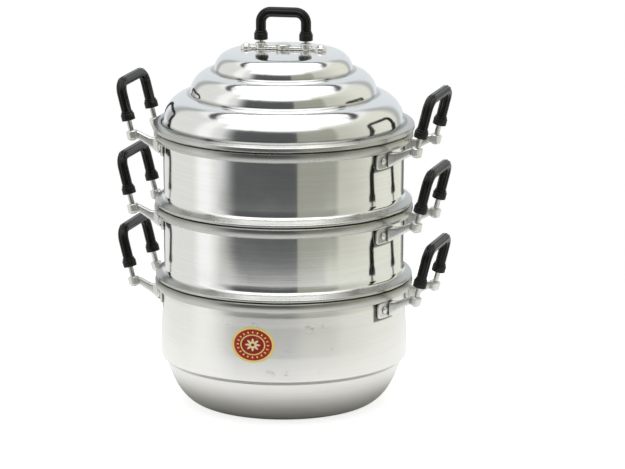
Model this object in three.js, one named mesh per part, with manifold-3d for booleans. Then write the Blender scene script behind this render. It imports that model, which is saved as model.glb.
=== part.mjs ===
// Food steamer: a cooking pot, two perforated trays stacked on it and a stepped lid.
// Lengths are in millimetres and angles in radians. Z is up, the pot's base stands on z = 0,
// and the side handles lie on the X axis.
import * as THREE from "three";
import { mergeGeometries, mergeVertices } from "three/addons/utils/BufferGeometryUtils.js";
import Module from "manifold-3d";

const wasm = await Module();
wasm.setup();

// Sheet metal and clearances
const sheet = 1.5;
const pieceGap = 0.3;
const cutOverrun = 5;

// Counts and facets
const shellFacets = 30;
const gripFacets = 10;
const rodFacets = 6;
const bossFacets = 10;
const rivetFacets = 6;
const holeFacets = 6;
const cornerSteps = 3;
const curlSteps = 2;
const lipSteps = 2;
const lidStepFacets = 4;
const bodySteps = 5;

// Heights of the stack
const potHeight = 150;
const trayPitch = 87.5;

// Tray shell
const trayRadius = 140;
const footHeight = 12.5;
const footReach = 10;
const lipCurve = 2.3;
const spigotPlay = 1.2;
const spigotDepth = 9;
const floorCorner = 3;
// Places on the foot's hollow curve, from the lip to the wall: share of its reach, then of its height
const coveShares = [[0.55, 0.45], [0.15, 0.7], [0, 1]];

// Rolled rim that the pot and the trays share
const rimReach = 10.5;
const rimCurl = 4.3;
const rimCurlEnd = THREE.MathUtils.degToRad(-55);

// Pot shell
const potNeckSwell = 2;
const potNeckDrop = 31;
const potBellySwell = 2;
const potBellyShare = 0.417;
const potCreaseDip = 6;
const potCreaseHeight = 53;
const potCreaseRise = 6;
const potBodyReach = 42;
const potBodyTurn = THREE.MathUtils.degToRad(60);

// Holes in a tray's floor
const holeRadius = 4.5;
const holeRings = 4;
const holesInFirstRing = 6;
const holePitchShare = 0.19;

// Lid shell: flange, three rounded steps and a shallow crown
const lidFlangeOverhang = 2.1;
const lidFlangeCurve = 2.6;
const lidFlangeTop = 7.2;
const lidSkirtDepth = 7;
const lidShoulder = 13.1;
const lidLowFoot = 9.5;
const lidLowCurve = 31.5;
const lidMiddleCurve = 28;
const lidTopCurve = 22;
const lidValley = 0.5;
const lidCrownRise = 2;
const lidCrownShare = 0.37;
const lidStepEnd = THREE.MathUtils.degToRad(84);
const lidTopEnd = THREE.MathUtils.degToRad(70);
const lidTurn = THREE.MathUtils.degToRad(7);

// Side handle, drawn flat and then leaned outwards about its knuckles
const sideLegSpacing = 82;
const sideBarRise = 62;
const sideCorner = 13;
const knuckleReach = 21.5;
const knuckleDrop = 11;
const sideLean = THREE.MathUtils.degToRad(14);
const sideCollarRise = 17.5;

// Grips and rods
const rodRadius = 3;
const gripWall = 3;
const fluteDepth = 0.4;
const collarStep = 1;
const collarHeight = 8;
const collarStepHeight = 2.5;
const peenLip = 1.4;
const peenHeight = 1.6;

// Lugs, placed from the leg they hold and from the rim above
const bossWall = 3.5;
const bossHeight = 10;
const bossLift = 5;
const footThickness = 3.2;
const footDrop = 13;
const lugHeight = 19;
const footInset = 10;
const footSpread = 17;
const armThickness = 6.5;
const armInset = 2;
const armTipRise = 3.6;
const armBend = 14;
const armRootRise = 1;

// Rivets
const rivetSpread = 6;
const rivetHeadRadius = 4.5;
const rivetHeadHeight = 2.2;
const rivetShankRadius = 1.5;
const rivetTailRadius = 3.4;
const rivetTailHeight = 1.2;

// Lid handle
const lidLegSpacing = 53;
const lidBarRise = 39.5;
const lidCorner = 12;
const lidCollarRise = 7;
const bridgeThickness = 4;
const bridgeHalfWidth = 5;
const bridgeSpread = 17;
const bridgeEndRadius = 7;
const bridgeBossHeight = 4;
const bridgePadRadius = 8.5;
const bridgePadHeight = 2.5;
const bridgeRodFloor = 1;

// Oval sticker on the pot's wall
const labelWidth = 52;
const labelHeight = 42;
const labelThickness = 0.5;
const labelPlaceShare = 0.44;
const labelTurn = THREE.MathUtils.degToRad(3);
const labelFacets = 24;

// Heights that follow from the sizes above
const lowerRimHeight = potHeight + trayPitch;
const upperRimHeight = lowerRimHeight + trayPitch;
const potNeckHeight = potHeight - potNeckDrop;
const potCreaseTop = potCreaseHeight + potCreaseRise;
const potBellyHeight = potCreaseTop + (potNeckHeight - potCreaseTop) * potBellyShare;
const labelCentreHeight = potCreaseTop + (potHeight - potCreaseTop) * labelPlaceShare;
const lidMiddleFoot = lidLowFoot + lidLowCurve - lidValley;
const lidTopFoot = lidMiddleFoot + lidMiddleCurve - lidValley;
const lidHeight = lidTopFoot + lidTopCurve + lidCrownRise;
const footBottom = footDrop + lugHeight;
const rivetDrop = footDrop + lugHeight / 2;

// Radii and reaches that follow
const mouthRadius = trayRadius - sheet;
const spigotRadius = mouthRadius - spigotPlay;
const footRadius = trayRadius + footReach;
const rimRadius = trayRadius + rimReach;
const potNeckRadius = trayRadius + potNeckSwell;
const potBellyRadius = potNeckRadius + potBellySwell;
const potCreaseRadius = potBellyRadius - potCreaseDip;
const potBaseRadius = potCreaseRadius - potBodyReach;
const holeRingPitch = spigotRadius * holePitchShare;
const lidFlangeRadius = rimRadius + lidFlangeOverhang;
const lidLowRadius = lidFlangeRadius - lidShoulder;
const lidMiddleRadius = lidLowRadius - lidLowCurve + lidValley;
const lidTopRadius = lidMiddleRadius - lidMiddleCurve;
const lidCrownRadius = lidTopRadius * lidCrownShare;
const knuckleRadius = rimRadius + knuckleReach;
const gripRadius = rodRadius + gripWall;
const collarStepRadius = gripRadius + collarStep;
const collarRadius = collarStepRadius + collarStep;
const peenRadius = rodRadius + peenLip;
const bossRadius = rodRadius + bossWall;
const footInner = sideLegSpacing / 2 - footInset;
const footOuter = sideLegSpacing / 2 + footSpread;
const armOffset = sideLegSpacing / 2 - armInset;
const rivetOffset = sideLegSpacing / 2 + rivetSpread;
const bridgeRivetReach = lidLegSpacing / 2 + bridgeSpread;
const sideRodFoot = bossLift - bossHeight - pieceGap;
const facetDipShare = 1 - Math.cos(Math.PI / shellFacets);

// Materials
const polished = { color: 0xd8dadb, metalness: 1, roughness: 0.12 };
const satin = { color: 0xd2d1cb, metalness: 0.9, roughness: 0.42 };
const cast = { color: 0xbfc0bc, metalness: 1, roughness: 0.38 };
const steel = { color: 0xb9bbba, metalness: 1, roughness: 0.25 };
const moulded = { color: 0x1f1f1b, metalness: 0, roughness: 0.32 };
const sticker = { color: 0xb5372b, metalness: 0, roughness: 0.45 };

// Closed bodies

// A closed body whose triangles face outwards, ready for joining and cutting.
function solid(geometry) {
  const bare = new THREE.BufferGeometry();
  bare.setAttribute("position", geometry.getAttribute("position").clone());
  if (geometry.index) bare.setIndex(geometry.index.clone());
  const merged = mergeVertices(bare);
  const place = merged.getAttribute("position");
  const corner = [new THREE.Vector3(), new THREE.Vector3(), new THREE.Vector3()];
  const triangles = [];
  let volume = 0;
  for (let i = 0; i < merged.index.count; i += 3) {
    const trio = [merged.index.getX(i), merged.index.getX(i + 1), merged.index.getX(i + 2)];
    if (new Set(trio).size < 3) continue;
    trio.forEach((vertex, k) => corner[k].fromBufferAttribute(place, vertex));
    volume += corner[0].dot(corner[1].clone().cross(corner[2]));
    triangles.push(trio);
  }
  if (volume < 0) triangles.forEach((trio) => trio.reverse());
  return new wasm.Manifold(new wasm.Mesh({
    numProp: 3,
    vertProperties: new Float32Array(place.array),
    triVerts: new Uint32Array(triangles.flat()),
  }));
}

function geometryOf(body) {
  const mesh = body.getMesh();
  const geometry = new THREE.BufferGeometry();
  geometry.setAttribute("position", new THREE.BufferAttribute(mesh.vertProperties, mesh.numProp));
  geometry.setIndex(new THREE.BufferAttribute(mesh.triVerts, 1));
  return geometry;
}

function pieceMesh(name, body, finish) {
  const mesh = new THREE.Mesh(geometryOf(body), new THREE.MeshStandardMaterial(finish));
  mesh.name = name;
  return mesh;
}

// A body turned about Z from a profile of [radius, height] points.
function revolve(profile, facets = shellFacets) {
  const points = profile.map(([radius, height]) => new THREE.Vector2(radius, height));
  if (profile[0][0] > 0) points.push(points[0].clone());
  return new THREE.LatheGeometry(points, facets).rotateX(Math.PI / 2);
}

function upright(radius, bottom, top, facets) {
  const height = top - bottom;
  const geometry = new THREE.CylinderGeometry(radius, radius, height, facets);
  return geometry.rotateX(Math.PI / 2).translate(0, 0, bottom + height / 2);
}

function block(x0, x1, y0, y1, z0, z1) {
  const geometry = new THREE.BoxGeometry(x1 - x0, y1 - y0, z1 - z0);
  return geometry.translate((x0 + x1) / 2, (y0 + y1) / 2, (z0 + z1) / 2);
}

// The corner radius of a faceted bore whose flats clear a round of the given radius.
function boreRadius(radius, facets) {
  return (radius + pieceGap) / Math.cos(Math.PI / facets);
}

// Points on an arc in the profile's plane.
function arc(centreRadius, centreHeight, radius, from, to, steps) {
  return Array.from({ length: steps + 1 }, (_, i) => {
    const angle = from + (to - from) * (i / steps);
    return [centreRadius + radius * Math.cos(angle), centreHeight + radius * Math.sin(angle)];
  });
}

// The same line moved to its left by one sheet's thickness, with mitred corners.
function inset(line, distance) {
  const left = (a, b) => {
    const length = Math.hypot(b[0] - a[0], b[1] - a[1]);
    return [-(b[1] - a[1]) / length, (b[0] - a[0]) / length];
  };
  return line.map((point, i) => {
    const before = i > 0 ? left(line[i - 1], point) : left(point, line[i + 1]);
    const after = i < line.length - 1 ? left(point, line[i + 1]) : before;
    const spread = 1 + before[0] * after[0] + before[1] * after[1];
    const shift = [(before[0] + after[0]) / spread, (before[1] + after[1]) / spread];
    if (point[0] === 0) return [0, point[1] + Math.sign(shift[1]) * distance];
    return [point[0] + shift[0] * distance, point[1] + shift[1] * distance];
  });
}

// The height at which a line first comes inside a radius, on its way to the axis.
function heightOn(line, radius) {
  const next = line.findIndex(([reach], i) => i > 0 && reach <= radius && line[i - 1][0] > radius);
  const [far, near] = [line[next - 1], line[next]];
  const share = (far[0] - radius) / (far[0] - near[0]);
  return far[1] + (near[1] - far[1]) * share;
}

// A pressed shell: its outer line, and the same line one sheet inwards.
function pressed(outerLine) {
  return revolve([...outerLine, ...inset(outerLine, sheet).reverse()]);
}

// Shell profiles, as the outer line from the lower end to the upper end

// The wall's top turns out into a flat land and rolls down.
function rolledRim(wallRadius, rimHeight) {
  const centre = [rimRadius - rimCurl, rimHeight - rimCurl];
  return [
    [wallRadius, rimHeight - sheet],
    ...arc(centre[0], centre[1], rimCurl - sheet, Math.PI / 2, rimCurlEnd, curlSteps),
  ];
}

// The fold that a tray rests on: spigot, flat seat, lip and a hollow curve up to the wall.
function trayFoot(seatHeight) {
  const floor = seatHeight - spigotDepth;
  const lipHeight = seatHeight + lipCurve;
  const reach = footRadius - trayRadius;
  return [
    [0, floor],
    [spigotRadius - floorCorner, floor],
    [spigotRadius, floor + floorCorner],
    [spigotRadius, seatHeight],
    ...arc(footRadius - lipCurve, lipHeight, lipCurve, -Math.PI / 2, Math.PI / 3, lipSteps),
    ...coveShares.map(([out, up]) => [trayRadius + reach * out, seatHeight + footHeight * up]),
  ];
}

function trayShell(seatHeight, rimHeight) {
  return solid(pressed([...trayFoot(seatHeight), ...rolledRim(trayRadius, rimHeight)]));
}

// The rounded body follows the first part of an ellipse's quarter, up to the crease.
function potWallLine() {
  const reach = potBodyReach / Math.sin(potBodyTurn);
  const rise = potCreaseHeight / (1 - Math.cos(potBodyTurn));
  const body = Array.from({ length: bodySteps + 1 }, (_, i) => {
    const angle = potBodyTurn * (i / bodySteps);
    return [potBaseRadius + reach * Math.sin(angle), rise * (1 - Math.cos(angle))];
  });
  return [
    [0, 0],
    ...body,
    [potBellyRadius, potCreaseTop],
    [potBellyRadius, potBellyHeight],
    [potNeckRadius, potNeckHeight],
  ];
}

function potShell() {
  return solid(pressed([...potWallLine(), ...rolledRim(potNeckRadius, potHeight)]));
}

function lidLine(seatHeight) {
  const steps = [
    [lidLowRadius, lidLowFoot, lidLowCurve, lidStepEnd],
    [lidMiddleRadius, lidMiddleFoot, lidMiddleCurve, lidStepEnd],
    [lidTopRadius, lidTopFoot, lidTopCurve, lidTopEnd],
  ];
  return [
    [spigotRadius, seatHeight - lidSkirtDepth],
    [spigotRadius, seatHeight],
    ...arc(lidFlangeRadius - lidFlangeCurve, seatHeight + lidFlangeCurve, lidFlangeCurve,
      -Math.PI / 2, Math.PI / 4, lipSteps),
    [lidFlangeRadius - lidFlangeCurve, seatHeight + lidFlangeTop],
    ...steps.flatMap(([radius, foot, curve, end]) =>
      arc(radius - curve, seatHeight + foot, curve, 0, end, lidStepFacets)),
    [lidCrownRadius, seatHeight + lidHeight],
    [0, seatHeight + lidHeight],
  ];
}

function lidShell(seatHeight) {
  return solid(pressed(lidLine(seatHeight)));
}

// The holes of a tray's floor, in rings that each hold six more than the last.
function floorHoles(seatHeight) {
  const bottom = seatHeight - spigotDepth - cutOverrun;
  const top = bottom + sheet + 2 * cutOverrun;
  const holes = [upright(holeRadius, bottom, top, holeFacets)];
  for (let ring = 1; ring <= holeRings; ring += 1) {
    const count = holesInFirstRing * ring;
    for (let i = 0; i < count; i += 1) {
      const angle = (2 * Math.PI * i) / count;
      const reach = holeRingPitch * ring;
      const hole = upright(holeRadius, bottom, top, holeFacets);
      holes.push(hole.translate(reach * Math.cos(angle), reach * Math.sin(angle), 0));
    }
  }
  return solid(mergeGeometries(holes));
}

// Handles

// A bail's centre line in the YZ plane: up one leg, round a corner, along the bar and down again.
class BailCurve extends THREE.Curve {
  constructor(spacing, foot, barRise, corner) {
    super();
    const half = spacing / 2;
    const up = new THREE.Vector3(0, 0, 1);
    const along = new THREE.Vector3(0, 1, 0);
    const bend = (centreY, from) => Array.from({ length: cornerSteps + 1 }, (_, i) => {
      const angle = from - (Math.PI / 2) * (i / cornerSteps);
      const out = along.clone().multiplyScalar(Math.cos(angle)).addScaledVector(up, Math.sin(angle));
      const ahead = along.clone().multiplyScalar(Math.sin(angle)).addScaledVector(up, -Math.cos(angle));
      const centre = new THREE.Vector3(0, centreY, barRise - corner);
      return { point: centre.addScaledVector(out, corner), tangent: ahead };
    });
    this.stations = [
      { point: new THREE.Vector3(0, -half, foot), tangent: up.clone() },
      ...bend(corner - half, Math.PI),
      ...bend(half - corner, Math.PI / 2),
      { point: new THREE.Vector3(0, half, foot), tangent: up.clone().negate() },
    ];
  }

  get steps() {
    return this.stations.length - 1;
  }

  getPointAt(share) {
    return this.stations[Math.round(share * this.steps)].point.clone();
  }

  getTangentAt(share) {
    return this.stations[Math.round(share * this.steps)].tangent.clone();
  }
}

function tube(curve, section) {
  return new THREE.ExtrudeGeometry(section, { steps: curve.steps, extrudePath: curve });
}

function roundSection(radius, facets, groove = 0) {
  return new THREE.Shape(Array.from({ length: facets }, (_, i) => {
    const angle = (2 * Math.PI * i) / facets;
    const reach = i % 2 ? radius - groove : radius;
    return new THREE.Vector2(reach * Math.cos(angle), reach * Math.sin(angle));
  }));
}

// A moulded grip: a fluted bail with a stepped collar on each leg, bored for its rod.
function gripBody(spacing, foot, barRise, corner) {
  const outer = new BailCurve(spacing, foot + collarHeight / 2, barRise, corner);
  const bore = new BailCurve(spacing, foot - cutOverrun, barRise, corner);
  const collar = (y) => revolve([
    [0, foot],
    [collarRadius, foot],
    [collarRadius, foot + collarHeight],
    [collarStepRadius, foot + collarHeight],
    [collarStepRadius, foot + collarHeight + collarStepHeight],
    [0, foot + collarHeight + collarStepHeight],
  ], gripFacets).translate(0, y, 0);
  return solid(tube(outer, roundSection(gripRadius, gripFacets, fluteDepth)))
    .add(solid(collar(-spacing / 2)))
    .add(solid(collar(spacing / 2)))
    .subtract(solid(tube(bore, roundSection(boreRadius(rodRadius, rodFacets), rodFacets))));
}

// The bent rod inside a grip. Each foot may end in a peened head.
function rodBody(spacing, foot, barRise, corner, peened) {
  const rod = solid(tube(new BailCurve(spacing, foot, barRise, corner), roundSection(rodRadius, rodFacets)));
  if (!peened) return rod;
  const head = (y) => solid(upright(peenRadius, foot - peenHeight, foot, bossFacets).translate(0, y, 0));
  return rod.add(head(-spacing / 2)).add(head(spacing / 2));
}

// Lugs and rivets, drawn for a vessel's right side with its rim on z = 0

// The place of a side handle's flat drawing on its vessel.
function sideHandlePlace() {
  const turn = new THREE.Matrix4().makeRotationY(sideLean);
  return turn.setPosition(knuckleRadius, 0, -knuckleDrop);
}

// A rivet's own frame: Z points out of the wall, through the middle of the lug's foot.
function rivetPlace(wallRadius, side) {
  const angle = side * Math.asin(rivetOffset / wallRadius);
  const turn = new THREE.Matrix4().makeRotationZ(angle);
  return turn.multiply(new THREE.Matrix4().makeRotationY(Math.PI / 2)).setPosition(0, 0, -rivetDrop);
}

function rivetHole(wallRadius, side) {
  const shaft = upright(boreRadius(rivetShankRadius, rivetFacets), wallRadius - 2 * cutOverrun,
    wallRadius + 2 * cutOverrun, rivetFacets);
  return solid(shaft.applyMatrix4(rivetPlace(wallRadius, side)));
}

function rivet(headSeat, tailSeat, headRadius = rivetHeadRadius) {
  return revolve([
    [0, tailSeat - rivetTailHeight],
    [rivetTailRadius, tailSeat - rivetTailHeight],
    [rivetTailRadius, tailSeat],
    [rivetShankRadius, tailSeat],
    [rivetShankRadius, headSeat],
    [headRadius, headSeat],
    [headRadius * Math.cos(Math.PI / 4), headSeat + rivetHeadHeight * Math.sin(Math.PI / 4)],
    [0, headSeat + rivetHeadHeight],
  ], rivetFacets);
}

function sideRivet(wallRadius, side) {
  const headSeat = wallRadius + 2 * pieceGap + footThickness;
  const tailSeat = (wallRadius - sheet) * (1 - facetDipShare) - pieceGap;
  return rivet(headSeat, tailSeat).applyMatrix4(rivetPlace(wallRadius, side));
}

// A cast lug: a foot that follows the wall, an arm under the rim and a boss for the rod.
function lugBody(wallRadius, side) {
  const inner = wallRadius + pieceGap;
  const ring = solid(revolve([
    [inner, -footBottom],
    [inner + footThickness, -footBottom],
    [inner + footThickness, -footDrop],
    [inner, -footDrop],
  ]));
  const nearY = Math.min(side * footInner, side * footOuter);
  const farY = Math.max(side * footInner, side * footOuter);
  const foot = ring.intersect(solid(block(0, rimRadius, nearY, farY,
    -footBottom - cutOverrun, -footDrop + cutOverrun)));
  const tip = knuckleRadius - bossRadius;
  const root = wallRadius - footInset;
  const rootBottom = footBottom - armRootRise;
  const tipTop = knuckleDrop - armTipRise;
  const tipBottom = knuckleDrop + armTipRise;
  const outline = new THREE.Shape([
    new THREE.Vector2(root, -footDrop),
    new THREE.Vector2(rimRadius, -footDrop),
    new THREE.Vector2(tip, -tipTop),
    new THREE.Vector2(knuckleRadius, -tipTop),
    new THREE.Vector2(knuckleRadius, -tipBottom),
    new THREE.Vector2(tip, -tipBottom),
    new THREE.Vector2(tip - armBend, -(tipBottom + rootBottom) / 2),
    new THREE.Vector2(wallRadius, -rootBottom),
    new THREE.Vector2(root, -rootBottom),
  ]);
  const arm = new THREE.ExtrudeGeometry(outline, { depth: armThickness, bevelEnabled: false })
    .translate(0, 0, -armThickness / 2)
    .rotateX(Math.PI / 2)
    .translate(0, side * armOffset, 0);
  const legY = (side * sideLegSpacing) / 2;
  const boss = upright(bossRadius, bossLift - bossHeight, bossLift, bossFacets)
    .translate(0, legY, 0)
    .applyMatrix4(sideHandlePlace());
  const rodHole = upright(boreRadius(rodRadius, rodFacets), -bossHeight - cutOverrun,
    bossLift + cutOverrun, rodFacets)
    .translate(0, legY, 0)
    .applyMatrix4(sideHandlePlace());
  const wall = upright(inner, -footBottom - cutOverrun, cutOverrun, shellFacets);
  return foot.add(solid(arm)).add(solid(boss))
    .subtract(solid(wall))
    .subtract(solid(rodHole))
    .subtract(rivetHole(wallRadius, side));
}

// Assemblies

const steamer = new THREE.Group();

// Lugs, rivets, rods and grips of both sides. A left handle is the right one turned half round.
function addSideHandles(vessel, wallRadius, rimHeight) {
  for (const [sideName, turn] of [["right", 0], ["left", Math.PI]]) {
    const handle = new THREE.Group();
    handle.position.z = rimHeight;
    handle.rotation.z = turn;
    const name = `${vessel}_${sideName}`;
    const front = turn === 0 ? -1 : 1;
    for (const [endName, side] of [["front", front], ["rear", -front]]) {
      handle.add(pieceMesh(`${name}_${endName}_lug`, lugBody(wallRadius, side), cast));
      handle.add(pieceMesh(`${name}_${endName}_rivet`, solid(sideRivet(wallRadius, side)), cast));
    }
    const bail = new THREE.Group();
    bail.applyMatrix4(sideHandlePlace());
    bail.add(pieceMesh(`${name}_rod`,
      rodBody(sideLegSpacing, sideRodFoot, sideBarRise, sideCorner, true), steel));
    bail.add(pieceMesh(`${name}_grip`,
      gripBody(sideLegSpacing, sideCollarRise, sideBarRise, sideCorner), moulded));
    handle.add(bail);
    steamer.add(handle);
  }
}

// The rivet holes of a vessel's shell.
function drilled(shell, wallRadius, rimHeight) {
  return [-1, 1].reduce((body, side) => {
    const hole = geometryOf(rivetHole(wallRadius, side)).translate(0, 0, rimHeight);
    const opposite = hole.clone().rotateZ(Math.PI);
    return body.subtract(solid(hole)).subtract(solid(opposite));
  }, shell);
}

function addPot() {
  steamer.add(pieceMesh("pot_shell", drilled(potShell(), potNeckRadius, potHeight), satin));
  addSideHandles("pot", potNeckRadius, potHeight);
}

// The sticker: an oval cut from a thin skin that follows the pot's wall.
function addLabel() {
  const wall = [...potWallLine().slice(-3), [potNeckRadius, potHeight - footDrop]];
  const skinLine = inset(wall, -pieceGap);
  const skin = revolve([...inset(skinLine, -labelThickness), ...skinLine.reverse()]);
  const oval = upright(labelWidth / 2, 0, potBellyRadius + cutOverrun, labelFacets)
    .scale(1, labelHeight / labelWidth, 1)
    .rotateX(Math.PI / 2)
    .translate(0, 0, labelCentreHeight)
    .rotateZ(labelTurn);
  steamer.add(pieceMesh("pot_label", solid(skin).intersect(solid(oval)), sticker));
}

function addTray(vessel, seatHeight) {
  const rimHeight = seatHeight + trayPitch;
  const shell = trayShell(seatHeight, rimHeight).subtract(floorHoles(seatHeight));
  steamer.add(pieceMesh(`${vessel}_shell`, drilled(shell, trayRadius, rimHeight), polished));
  addSideHandles(vessel, trayRadius, rimHeight);
}

// The lid handle's cast bridge: a strip with rounded ends, two bosses and a round pad,
// hollowed underneath to the lid's crown.
function bridgeBody(seatHeight) {
  const top = seatHeight + lidHeight + bridgeThickness;
  const bottom = seatHeight + lidTopFoot;
  const legX = lidLegSpacing / 2;
  const strip = block(-bridgeRivetReach, bridgeRivetReach, -bridgeHalfWidth, bridgeHalfWidth, bottom, top);
  const rounds = [-1, 1].flatMap((side) => [
    upright(bridgeEndRadius, bottom, top, bossFacets).translate(side * bridgeRivetReach, 0, 0),
    upright(bossRadius, bottom, top + bridgeBossHeight, bossFacets).translate(side * legX, 0, 0),
  ]);
  const pad = upright(bridgePadRadius, bottom, top + bridgePadHeight, bossFacets);
  const rodHoles = [-1, 1].map((side) =>
    upright(boreRadius(rodRadius, rodFacets), bottom, top + bridgeBossHeight + cutOverrun, rodFacets)
      .translate(side * legX, 0, 0));
  const crown = inset(lidLine(seatHeight), -pieceGap).slice(-lidStepFacets - 2);
  const under = revolve([[0, bottom - cutOverrun], [crown[0][0], bottom - cutOverrun], ...crown]);
  let body = [...rounds, pad].reduce((joined, piece) => joined.add(solid(piece)), solid(strip));
  body = body.subtract(solid(under));
  [...rodHoles, ...lidRivetHoles(seatHeight)].forEach((hole) => {
    body = body.subtract(solid(hole));
  });
  return body;
}

function lidRivetHoles(seatHeight) {
  const top = seatHeight + lidHeight + bridgeThickness + cutOverrun;
  return [-1, 1].map((side) =>
    upright(boreRadius(rivetShankRadius, rivetFacets), seatHeight + lidTopFoot, top, rivetFacets)
      .translate(side * bridgeRivetReach, 0, 0));
}

// A lid rivet at the right end (side 1) or the left end (side -1) of the bridge.
function lidRivet(seatHeight, side) {
  const headSeat = seatHeight + lidHeight + bridgeThickness + pieceGap;
  const inner = inset(lidLine(seatHeight), sheet);
  const tailSeat = heightOn(inner, bridgeRivetReach + rivetTailRadius) - pieceGap;
  return solid(rivet(headSeat, tailSeat).translate(side * bridgeRivetReach, 0, 0));
}

function addLid(seatHeight) {
  const lid = new THREE.Group();
  lid.rotation.z = lidTurn;
  const shell = lidRivetHoles(seatHeight)
    .reduce((body, hole) => body.subtract(solid(hole)), lidShell(seatHeight));
  lid.add(pieceMesh("lid_shell", shell, polished));
  lid.add(pieceMesh("lid_bridge", bridgeBody(seatHeight), cast));
  lid.add(pieceMesh("lid_right_rivet", lidRivet(seatHeight, 1), cast));
  lid.add(pieceMesh("lid_left_rivet", lidRivet(seatHeight, -1), cast));
  const bail = new THREE.Group();
  bail.position.z = seatHeight + lidHeight + bridgeThickness;
  bail.rotation.z = -Math.PI / 2;
  const rodFoot = pieceGap + bridgeRodFloor - bridgeThickness;
  bail.add(pieceMesh("lid_rod", rodBody(lidLegSpacing, rodFoot, lidBarRise, lidCorner, false), steel));
  bail.add(pieceMesh("lid_grip", gripBody(lidLegSpacing, lidCollarRise, lidBarRise, lidCorner), moulded));
  lid.add(bail);
  steamer.add(lid);
}

addPot();
addLabel();
addTray("lower_tray", potHeight);
addTray("upper_tray", lowerRimHeight);
addLid(upperRimHeight);

export default steamer;
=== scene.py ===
"""Food steamer: pot, two perforated trays and a stepped lid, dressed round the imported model."""
import logging
import math
from dataclasses import dataclass
from enum import Enum
from functools import reduce
from typing import Optional, Sequence

import bmesh
import bpy
import numpy as np
from mathutils import Matrix, Vector


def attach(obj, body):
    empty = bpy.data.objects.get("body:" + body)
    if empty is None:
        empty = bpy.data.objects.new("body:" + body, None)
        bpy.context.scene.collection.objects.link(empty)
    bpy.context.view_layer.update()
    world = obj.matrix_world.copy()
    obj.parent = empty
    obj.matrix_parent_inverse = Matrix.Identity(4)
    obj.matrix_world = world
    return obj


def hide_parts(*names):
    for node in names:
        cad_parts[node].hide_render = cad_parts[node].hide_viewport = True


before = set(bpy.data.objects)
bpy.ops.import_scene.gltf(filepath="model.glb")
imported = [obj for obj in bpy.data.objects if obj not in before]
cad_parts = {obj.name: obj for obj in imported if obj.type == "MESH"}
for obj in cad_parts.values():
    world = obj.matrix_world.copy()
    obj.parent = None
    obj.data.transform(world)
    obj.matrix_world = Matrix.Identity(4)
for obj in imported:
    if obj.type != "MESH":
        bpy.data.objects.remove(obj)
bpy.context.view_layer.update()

log = logging.getLogger("steamer")

Socket = bpy.types.NodeSocket
Colour = tuple[float, float, float]
Pair = tuple[float, float]
Fade = tuple[float, float, float, float]  # a change's start and end, its values before and after
Window = tuple[float, float, float, float]  # where a window opens, is open, closes, is closed

MM = 0.001
TURN = 2 * math.pi
SEGMENTS = 192  # points round a spun shell
SHEET = 1.5  # the sheet's thickness
GAP = 0.3  # play between pieces that meet
RIM_RADIUS = 150.5  # the outside of every vessel's rolled rim
ON_AXIS = 1e-9  # a radius below this lies on the axis
NO_TRIANGLES = np.zeros((0, 3), int)


# Lines in the plane of radius and height, in millimetres


def arc(centre: Sequence[float], radius: float, start: float, end: float,
        step: float = 6.0) -> np.ndarray:
    """Points on a circle's arc: the centre plus the radius times (cosine, sine) of even angles.

    Args:
        centre: Radius and height of the arc's centre.
        radius: The arc's radius.
        start: First angle in degrees, 0 pointing away from the axis.
        end: Last angle in degrees.
        step: Largest angle between points.

    Returns:
        An array of points, one row each.
    """
    count = max(2, int(math.ceil(abs(end - start) / step)) + 1)
    angle = np.radians(np.linspace(start, end, count))
    return np.array(centre)[None, :] + radius * np.stack([np.cos(angle), np.sin(angle)], 1)


def filleted(corners: Sequence[tuple[float, float, float]]) -> np.ndarray:
    """A line through corners, each rounded by an arc that touches both of its sides.

    An arc of radius r in a corner that turns by t starts r tan(t / 2) before the corner and its
    centre lies r to the side that the line turns to.

    Args:
        corners: Radius, height and fillet radius of each corner. The ends take no fillet.

    Returns:
        The rounded line.
    """
    parts = [np.array([corners[0][:2]])]
    for before, here, after in zip(corners, corners[1:], corners[2:]):
        point = np.array(here[:2])
        into = point - np.array(before[:2])
        out = np.array(after[:2]) - point
        into, out = into / np.linalg.norm(into), out / np.linalg.norm(out)
        turn = math.atan2(into[0] * out[1] - into[1] * out[0], float(into @ out))
        if here[2] <= 0 or abs(turn) < 1e-4:
            parts.append(point[None, :])
            continue
        side = math.copysign(1, turn)
        begin = point - into * here[2] * math.tan(abs(turn) / 2)
        centre = begin + side * here[2] * np.array([-into[1], into[0]])
        first = math.degrees(math.atan2(*(begin - centre)[::-1]))
        parts.append(arc(centre, here[2], first, first + math.degrees(turn)))
    parts.append(np.array([corners[-1][:2]]))
    return np.vstack(parts)


def bezier(points: Sequence[Pair], count: int = 10) -> np.ndarray:
    """A cubic curve: the four points weighted by the Bernstein polynomials of t.

    Args:
        points: Two ends and the two handles between them.
        count: Number of points on the curve.

    Returns:
        The curve's points.
    """
    t = np.linspace(0, 1, count)[:, None]
    a, b, c, d = (np.array(p)[None, :] for p in points)
    return (1 - t) ** 3 * a + 3 * t * (1 - t) ** 2 * b + 3 * t ** 2 * (1 - t) * c + t ** 3 * d


def cleaned(line: np.ndarray, nearest: float = 1e-3) -> np.ndarray:
    """The line without points that lie on the one before."""
    step = np.linalg.norm(np.diff(line, axis=0), axis=1)
    return line[np.concatenate([[True], step > nearest])]


def offset(line: np.ndarray, distance: float) -> np.ndarray:
    """The line moved to its left: each point goes along its two sides' mean normal, mitred."""
    side = np.diff(line, axis=0)
    side /= np.linalg.norm(side, axis=1)[:, None]
    normal = np.stack([-side[:, 1], side[:, 0]], 1)
    before = np.vstack([normal[:1], normal])
    after = np.vstack([normal, normal[-1:]])
    spread = 1 + np.sum(before * after, axis=1)[:, None]
    moved = line + (before + after) / spread * distance
    moved[line[:, 0] < ON_AXIS, 0] = 0
    return moved


def sheet_loop(outer: np.ndarray) -> np.ndarray:
    """A sheet's whole section: its outer line, then the line one sheet inwards, backwards."""
    outer = cleaned(outer)
    return np.vstack([outer, offset(outer, SHEET)[::-1]])


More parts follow.
